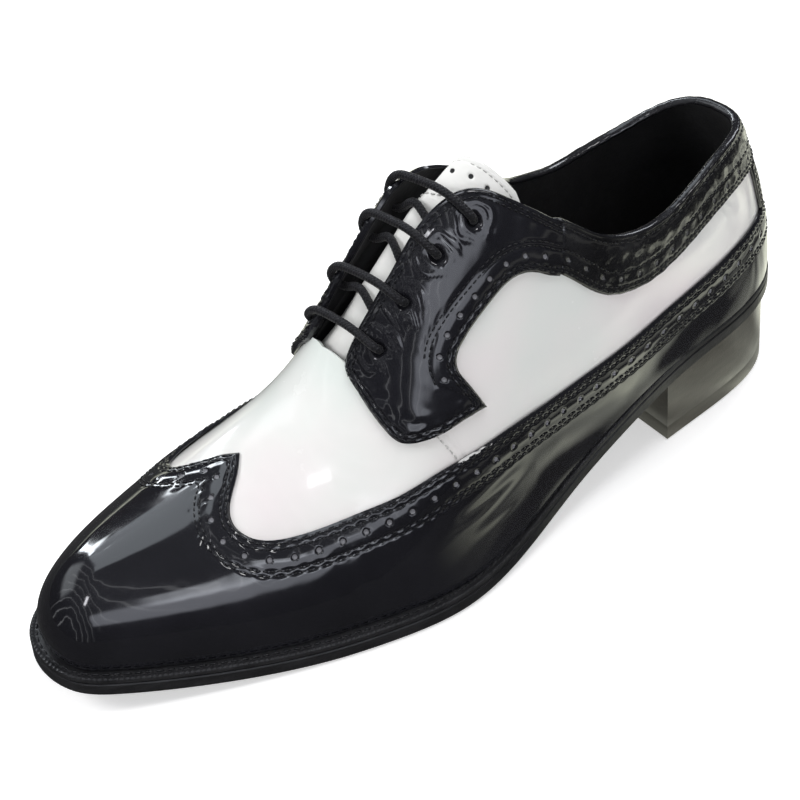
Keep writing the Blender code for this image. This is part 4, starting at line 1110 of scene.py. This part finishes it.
def laceRoute():
    # out of a medial eyelet, over to the lateral one, and back underneath to the next row
    above = shoe["panelSeat"] + shoe["facing"] + shoe["lace"] / 2 + 2 * shoe["seat"]
    below = -shoe["lace"] / 2 - 3 * shoe["seat"]
    route = []
    for row, (outer, inner, girth) in enumerate(eyeletRows):
        bar = []
        for lateral, walk, order in ((False, inner, 1), (True, outer, -1)):
            hole = planOf(walk, girth, lateral)
            over = walk + (outer + inner - 2 * walk) * shoe["rimLean"]
            rim = planOf(over, shoe["flareFull"], lateral)
            stand, standRim = liftOf(walk, girth, lateral), liftOf(over, shoe["flareFull"], lateral)
            side = [lastRaised(hole, stand + below), lastRaised(hole, stand + above),
                    lastRaised(rim, standRim + above)]
            bar += side[::order]
        middle = (bar[2] + bar[3]) / 2 + [0, 0, 0.0006]
        bar.insert(3, middle)
        if row:
            start = planOf(eyeletRows[row - 1][0], eyeletRows[row - 1][2], True)
            end = planOf(inner, girth, False)
            place = start + (end - start) * np.array([[0.25], [0.5], [0.75]])
            across = (place[:, 0] - centreLine(place[:, 1])) / (shoe["ballWidth"] / 2)
            route += list(overTongue(alongOf(place[:, 1]), across, shoe["lace"] / 2 + 3 * shoe["seat"]))
        route += bar
    return np.array(route)


def makeLace():
    # a braided cord: a round whose radius swells where two sets of strands, turning opposite ways, rise
    lace = {"step": 0.00022, "turns": 28, "strands": 5, "lay": 0.0062, "swell": 0.00028}
    line = laceRoute()
    for _ in range(3):  # corner cutting: each step keeps the quarter points
        quarter, later = line[:-1] * 0.75 + line[1:] * 0.25, line[:-1] * 0.25 + line[1:] * 0.75
        line = np.concatenate([line[:1], np.stack([quarter, later], 1).reshape(-1, 3), line[-1:]])
    walked = walkedAlong(line)
    wanted = np.arange(0, walked[-1], lace["step"])
    path = np.stack([np.interp(wanted, walked, line[:, k]) for k in range(3)], 1)
    smooth = np.hanning(25)
    padded = np.pad(path, ((12, 12), (0, 0)), "edge")
    path = np.stack([np.convolve(padded[:, k], smooth / smooth.sum(), "valid") for k in range(3)], 1)
    run = np.gradient(path, axis=0)
    run /= np.linalg.norm(run, axis=1)[:, None]
    side = np.cross(run, [0.0, 0.25, 1.0])
    side /= np.linalg.norm(side, axis=1)[:, None]
    up = np.cross(side, run)
    turn = np.arange(lace["turns"]) * 2 * pi / lace["turns"]
    twist = 2 * pi * wanted[:, None] / lace["lay"]
    one = np.cos(lace["strands"] * turn[None] + lace["strands"] * twist)
    two = np.cos(lace["strands"] * turn[None] - lace["strands"] * twist)
    radius = shoe["lace"] / 2 + lace["swell"] * (np.maximum(one, two) - 0.6)
    grid = path[:, None] + (side[:, None] * np.cos(turn)[None, :, None]
                            + up[:, None] * np.sin(turn)[None, :, None]) * radius[..., None]
    return ride(meshPiece("braided_lace", grid, tubeFaces(*grid.shape[:2]), waxedCord), "waxed_lace", "lace")


def ringAt(inset, count, breast=None):
    # the sole's loop moved inwards, in pairs of places that share y, from the heel's back round the toe
    lateral, medial = halvesOf(inset)
    back, front = lateral[0, 1], lateral[-1, 1]
    if breast is None:
        y = (back + front) / 2 + (back - front) / 2 * np.cos(np.linspace(0, pi, count))
    else:
        y = breast + (back - breast) * np.cos(np.linspace(0, pi / 2, count))
    outer = np.stack([np.interp(-y, -lateral[:, 1], lateral[:, 0]), y], 1)
    inner = np.stack([np.interp(-y, -medial[:, 1], medial[:, 0]), y], 1)
    if breast is None:
        return np.concatenate([outer, inner[-2:0:-1]])
    return np.concatenate([outer, inner[:0:-1]])


def pinched(ring, share):
    # the ring drawn in across the shoe towards the middle between its two sides
    partner = np.concatenate([ring[:1], ring[:0:-1]])
    middle = (ring[:, 0] + partner[:, 0]) / 2
    return np.stack([middle + (ring[:, 0] - middle) * share, ring[:, 1]], 1)


def turnedPlate(name, finish, rows, heights):
    # rings of places at heights, from the lower middle line round the edge to the upper one
    grid = np.stack([np.concatenate([ring, height[:, None]], 1) for ring, height in zip(rows, heights)], 1)
    quads = gridQuads(len(grid), grid.shape[1], True, False).reshape(-1, 4).tolist()
    return meshPiece(name, grid, quads, finish, None, 0.000002, 40)


def makeOutsole():
    sole = {"count": 700, "round": 0.0008, "lip": 0.00035, "lipHeight": 0.0004}
    edge, inside = ringAt(0, sole["count"]), ringAt(sole["round"], sole["count"])
    lip = ringAt(sole["lip"], sole["count"])
    shares = (0, 0.35, 0.7, 0.9)
    rings = [pinched(inside, k) for k in shares] + [inside, edge, edge, lip]
    rises = [0, 0, 0, 0, 0, sole["round"], shoe["sole"] - sole["lipHeight"], shoe["sole"]]
    rings += [pinched(inside, k) for k in shares[::-1]]
    rises += [shoe["sole"]] * len(shares)
    heights = [underside(ring[:, 1]) + rise for ring, rise in zip(rings, rises)]
    return ride(turnedPlate("sole_unit", soleEdge, rings, heights), "dark_edge", "outsole")


def makeWelt():
    welt = {"count": 1500, "mark": 0.00013, "markPitch": 0.0017, "line": 0.0024, "lineFrom": 0.33,
            "marksFrom": (0.28, 0.36), "inside": 0.003}
    thread = {"pitch": 0.0034, "length": 0.0027, "radius": 0.00038}
    loops = [0.0004, 0.0, 0.0, 0.00015, 0.0006, 0.0014, 0.0019, 0.0024]
    rises = [0.0003, 0.0007, 0.0017, 0.0022, 0.0025, 0.0025, 0.00225, 0.0025]
    top = [ringAt(inset, welt["count"]) for inset in loops]
    innerInset = edgeWidth(soleLoop[:, 1]) + shoe["wall"]
    top += [ringAt(np.maximum(innerInset, welt["inside"]), welt["count"])] * 2
    rises += [shoe["welt"], shoe["seat"]]
    marks = [0, 0, 0.3, 1, 1, 0.7, 0, 0, 0, 0]
    heights = []
    for ring, rise, mark in zip(top, rises, marks):
        walked = walkedAlong(np.concatenate([ring, ring[:1]]))[:-1]
        wheel = welt["mark"] * mark * np.cos(2 * pi * walked / welt["markPitch"])
        front = softStep(alongOf(ring[:, 1]), *welt["marksFrom"])
        wheel = (wheel - welt["mark"] * (mark > 0)) * front
        heights.append(underside(ring[:, 1]) + shoe["sole"] + rise + wheel)
    grid = np.stack([np.concatenate([ring, height[:, None]], 1) for ring, height in zip(top, heights)], 1)
    quads = gridQuads(len(grid), grid.shape[1], True, True).reshape(-1, 4).tolist()
    piece = meshPiece("welt_strip", grid, quads, soleEdge, None, 0, 40)
    seam = ringAt(welt["line"], 1200)
    seam = seam[alongOf(seam[:, 1]) > welt["lineFrom"]]
    level = underside(seam[:, 1]) + shoe["sole"] + shoe["welt"]
    line = np.concatenate([seam, level[:, None]], 1)
    bits = threadBits(line, np.tile([0.0, 0.0, 1.0], (len(line), 1)), thread)
    ride(threadPiece("welt_stitches", [bits], blackThread), "dark_edge")
    return ride(piece, "dark_edge", "welt")


def makeHeel():
    heel = {"count": 240, "round": 0.0006, "lift": 0.0062, "line": 0.00008, "lineHeight": 0.00025}
    breast = shoe["length"] / 2 - shoe["heelLength"]
    inset = shoe["heelInset"]
    edge = ringAt(inset, heel["count"], breast)
    inside = ringAt(inset + heel["round"], heel["count"], breast + heel["round"])
    line = ringAt(inset + heel["line"], heel["count"], breast + heel["line"])
    rings = [pinched(inside, k) for k in (0, 0.5, 0.9)] + [inside, edge, edge, line, edge]
    top = underside(edge[:, 1]) - shoe["seat"]
    zero = 0 * top
    levels = [zero, zero, zero, zero, zero + heel["round"], zero + heel["lift"] - heel["lineHeight"],
              zero + heel["lift"], zero + heel["lift"] + heel["lineHeight"]]
    for share in (0.2, 0.5, 0.8, 1.0):
        rings.append(edge)
        levels.append(levels[7] + (top - levels[7]) * share)
    for share in (0.9, 0.5, 0):
        rings.append(pinched(edge, share))
        levels.append(top)
    return ride(turnedPlate("heel_block", heelStack, rings, levels), "heel_stack", "heel")


def makeSock():
    sock = {"count": 420, "round": 0.0012, "crown": 0.0009}
    inset = edgeWidth(soleLoop[:, 1]) + shoe["wall"] + 2 * shoe["seat"]
    edge, inside = ringAt(inset, sock["count"]), ringAt(inset + sock["round"], sock["count"])
    shares = (0, 0.4, 0.8)
    rings = [pinched(edge, k) for k in shares] + [edge, edge, inside]
    rises = [0, 0, 0, 0, shoe["insole"] - sock["round"], shoe["insole"]]
    for share in (0.95, 0.85, 0.7, 0.5, 0.3, 0.15, 0):
        rings.append(pinched(inside, share))
        rises.append(shoe["insole"] + sock["crown"] * (1 - share ** 2) - sock["crown"])
    floor = shoe["sole"] + shoe["seat"]
    heights = [underside(ring[:, 1]) + floor + rise for ring, rise in zip(rings, rises)]
    return ride(turnedPlate("sock_lining_pad", liningLeather, rings, heights), "sock_lining", "insole")


makeOutsole()
makeWelt()
makeHeel()
makeSock()
print("bottom made")
makeUpper()
makeLining()
print("upper and lining made")
makeWing()
print("wing made")
makeBand()
makeBinding()
makeStrip()
print("collar made")
makeFacing("facing_lateral", True)
makeFacing("facing_medial", False)
makeFlapLining("flap_lining_lateral", True)
makeFlapLining("flap_lining_medial", False)
makeTongue()
makeLace()
print("facings, tongue and lace made")
ride(threadPiece("upper_stitches", stitching, blackThread), "black_patent")
ride(threadPiece("tongue_stitches", paleStitching, paleThread), "white_patent")
print("stitches made")


def dotWith(tree, way, axis):
    node = addNode(tree, "ShaderNodeVectorMath", {0: way, 1: tuple(axis)}, operation="DOT_PRODUCT")
    return node.outputs["Value"]


def spread(tree, value, start, end, low=0.0, high=1.0):
    # a smooth step of a value from low at the start to high at the end
    return addNode(tree, "ShaderNodeMapRange", {
        "Value": value, "From Min": start, "From Max": end, "To Min": low, "To Max": high},
        interpolation_type="SMOOTHSTEP").outputs["Result"]


def addMath(tree, operation, *values):
    return addNode(tree, "ShaderNodeMath", dict(enumerate(values)), operation=operation).outputs["Value"]


def addVectors(tree, first, second):
    return addNode(tree, "ShaderNodeVectorMath", {0: first, 1: second}).outputs["Vector"]


def scaled(tree, vector, factor):
    node = addNode(tree, "ShaderNodeVectorMath", {0: vector, "Scale": factor}, operation="SCALE")
    return node.outputs["Vector"]


def addPane(tree, way, azimuth, elevation, wide, tall, soft, colour):
    # a soft-edged pale rectangle in the mirrored room, by how far a direction leans to its sides
    azimuth, elevation = radians(azimuth), radians(elevation)
    out = np.array([cos(elevation) * cos(azimuth), cos(elevation) * sin(azimuth), sin(elevation)])
    right = np.array([-sin(azimuth), cos(azimuth), 0])
    ahead = addMath(tree, "MAXIMUM", dotWith(tree, way, out), 0.001)
    mask = spread(tree, ahead, 0.0, 0.1)
    for axis, half in ((right, wide), (np.cross(out, right), tall)):
        lean = addMath(tree, "DIVIDE", addMath(tree, "ABSOLUTE", dotWith(tree, way, axis)), ahead)
        mask = addMath(tree, "MULTIPLY", mask, spread(tree, lean, half - soft, half + soft, 1.0, 0.0))
    return scaled(tree, colour, mask)


def makeRoom():
    # white to the camera, pale to matt surfaces, and for the lacquer a dim room with panes and blinds
    world = bpy.data.worlds.new("studio")
    world.use_nodes = True
    tree = world.node_tree
    shade = tree.nodes["Background"]
    straight = addNode(tree, "ShaderNodeTexCoord").outputs["Generated"]
    drift = addNode(tree, "ShaderNodeTexNoise", {"Vector": straight, "Scale": 3.0, "Detail": 2.0})
    drift = addVectors(tree, drift.outputs["Color"], (-0.5, -0.5, -0.5))
    way = addNode(tree, "ShaderNodeVectorMath", {
        0: drift, 1: (0.12, 0.12, 0.12), 2: straight}, operation="MULTIPLY_ADD").outputs["Vector"]
    panes = [  # azimuth, elevation, half width and height, softness, colour
        (167, 56, 0.13, 0.40, 0.03, (1.15, 1.25, 1.35)), (-12, 33, 0.40, 0.15, 0.04, (1.2, 1.25, 1.4)),
        (-10, 43, 0.07, 0.09, 0.03, (2.2, 2.3, 2.5)), (174, 24, 0.028, 0.30, 0.01, (9, 9.5, 10)),
        (-62, 58, 0.05, 0.10, 0.02, (9, 9, 9.5)), (40, 62, 0.05, 0.12, 0.02, (8, 8, 8)),
        (112, 40, 0.10, 0.20, 0.04, (5, 5.2, 5.5)), (30, 4, 0.30, 0.07, 0.05, (0.22, 0.22, 0.2)),
        (-150, 35, 0.30, 0.20, 0.08, (0.9, 0.95, 1.0)),
    ]
    parts = addNode(tree, "ShaderNodeSeparateXYZ", {"Vector": way})
    total = addRamp(tree, spread(tree, parts.outputs["Z"], -1.0, 1.0), [
        (0.0, (0.02, 0.02, 0.02)), (0.5, (0.03, 0.03, 0.032)), (0.8, (0.05, 0.052, 0.06)),
        (1.0, (0.12, 0.125, 0.14))])
    for pane in panes:
        total = addVectors(tree, total, addPane(tree, way, *pane))
    blinds = {"gap": 0.115, "colour": (0.95, 0.97, 1.0),
              "kept": (("Y", -0.03, -0.08), ("Z", -0.10, 0.0), ("X", 0.90, 0.70), ("X", -0.8, -0.6))}
    wave = addMath(tree, "COSINE", addMath(tree, "MULTIPLY", parts.outputs["Y"], 2 * pi / blinds["gap"]))
    lines = spread(tree, wave, 0.90, 0.99)
    for name, start, end in blinds["kept"]:
        lines = addMath(tree, "MULTIPLY", lines, spread(tree, parts.outputs[name], start, end))
    total = addVectors(tree, total, scaled(tree, blinds["colour"], lines))
    seen = addNode(tree, "ShaderNodeLightPath")
    lit = mixColour(tree, seen.outputs["Is Glossy Ray"], (0.30, 0.30, 0.31), total)
    setInput(tree, shade, "Color", mixColour(tree, seen.outputs["Is Camera Ray"], lit, (1.0, 1.0, 1.0)))
    shade.inputs["Strength"].default_value = 1.0
    bpy.context.scene.world = world


def makeLamps():
    lamps = {
        # place, aim, size, power
        "front_window": ((-0.45, -0.85, 0.75), (0, -0.03, 0.04), (0.55, 0.40), 6.5),
        "top_panel": ((0.0, 0.10, 1.00), (0, 0.0, 0.05), (0.60, 0.45), 5.0),
        "side_fill": ((0.95, -0.35, 0.55), (0, 0.0, 0.05), (0.6, 0.6), 3.2),
        "back_fill": ((-0.45, 0.85, 0.60), (0, 0.05, 0.06), (0.40, 0.30), 3.0),
    }
    for name, (place, aim, size, power) in lamps.items():
        lamp = bpy.data.lights.new(name, "AREA")
        lamp.shape = "RECTANGLE"
        lamp.size, lamp.size_y = size
        lamp.energy = power
        thing = bpy.data.objects.new(name, lamp)
        back = np.array(place) - np.array(aim)
        back /= np.linalg.norm(back)
        right = np.cross([0, 0, 1], back)
        right /= np.linalg.norm(right)
        thing.matrix_world = matrixOf(right, np.cross(back, right), back, place)
        thing.visible_glossy = False
        bpy.context.scene.collection.objects.link(thing)


def makeGround():
    # a white floor, which the lacquer sees as dark with a mottled patch beside the shoe's rear; the patch is
    # a painted reflection, a glow that only glossy rays see
    ground = {"half": 6.0, "rear": (-0.03, 0.09), "beside": (0.13, 0.20), "gain": 1.7}
    points = ground["half"] * np.array([[-1, -1, 0], [1, -1, 0], [1, 1, 0], [-1, 1, 0]])
    finish, tree, shader = newFinish("pale_floor", {"Roughness": 0.9, "Specular IOR Level": 0.1})
    tint = addRamp(tree, addNoise(tree, 3, 2), [(0.3, (0.93, 0.93, 0.93)), (0.7, (0.96, 0.96, 0.96))])
    path = addNode(tree, "ShaderNodeLightPath")
    spot = addNode(tree, "ShaderNodeTexCoord").outputs["Object"]
    spot = addNode(tree, "ShaderNodeSeparateXYZ", {"Vector": spot})
    # painted reflection: a mottled greenish glow beside the shoe's rear, emitted only to glossy rays
    mottle = addRamp(tree, addNoise(tree, 16, 3, 0.5, (1.0, 0.45, 1.0), 0.8), [
        (0.40, (0.03, 0.03, 0.03)), (0.50, (0.45, 0.46, 0.40)), (0.60, (1.0, 1.02, 0.84))])
    beside = addMath(tree, "MULTIPLY", spread(tree, spot.outputs["Y"], *ground["rear"]),
                     spread(tree, spot.outputs["X"], *ground["beside"], 1.0, 0.0))
    mirrored = mixColour(tree, beside, (0.04, 0.04, 0.04), scaled(tree, mottle, ground["gain"]))
    glossy, camera = path.outputs["Is Glossy Ray"], path.outputs["Is Camera Ray"]
    glow = mixColour(tree, glossy, (0.0, 0.0, 0.0), mirrored)
    setInput(tree, shader, "Base Color", mixColour(tree, glossy, tint, (0.0, 0.0, 0.0)))
    setInput(tree, shader, "Emission Color", mixColour(tree, camera, glow, (0.45, 0.45, 0.45)))
    shader.inputs["Emission Strength"].default_value = 1.0
    meshPiece("studio_floor", points, [[0, 1, 2, 3]], finish)


bpy.context.scene.view_settings.view_transform = "Standard"
makeRoom()
makeLamps()
makeGround()
print("studio made")
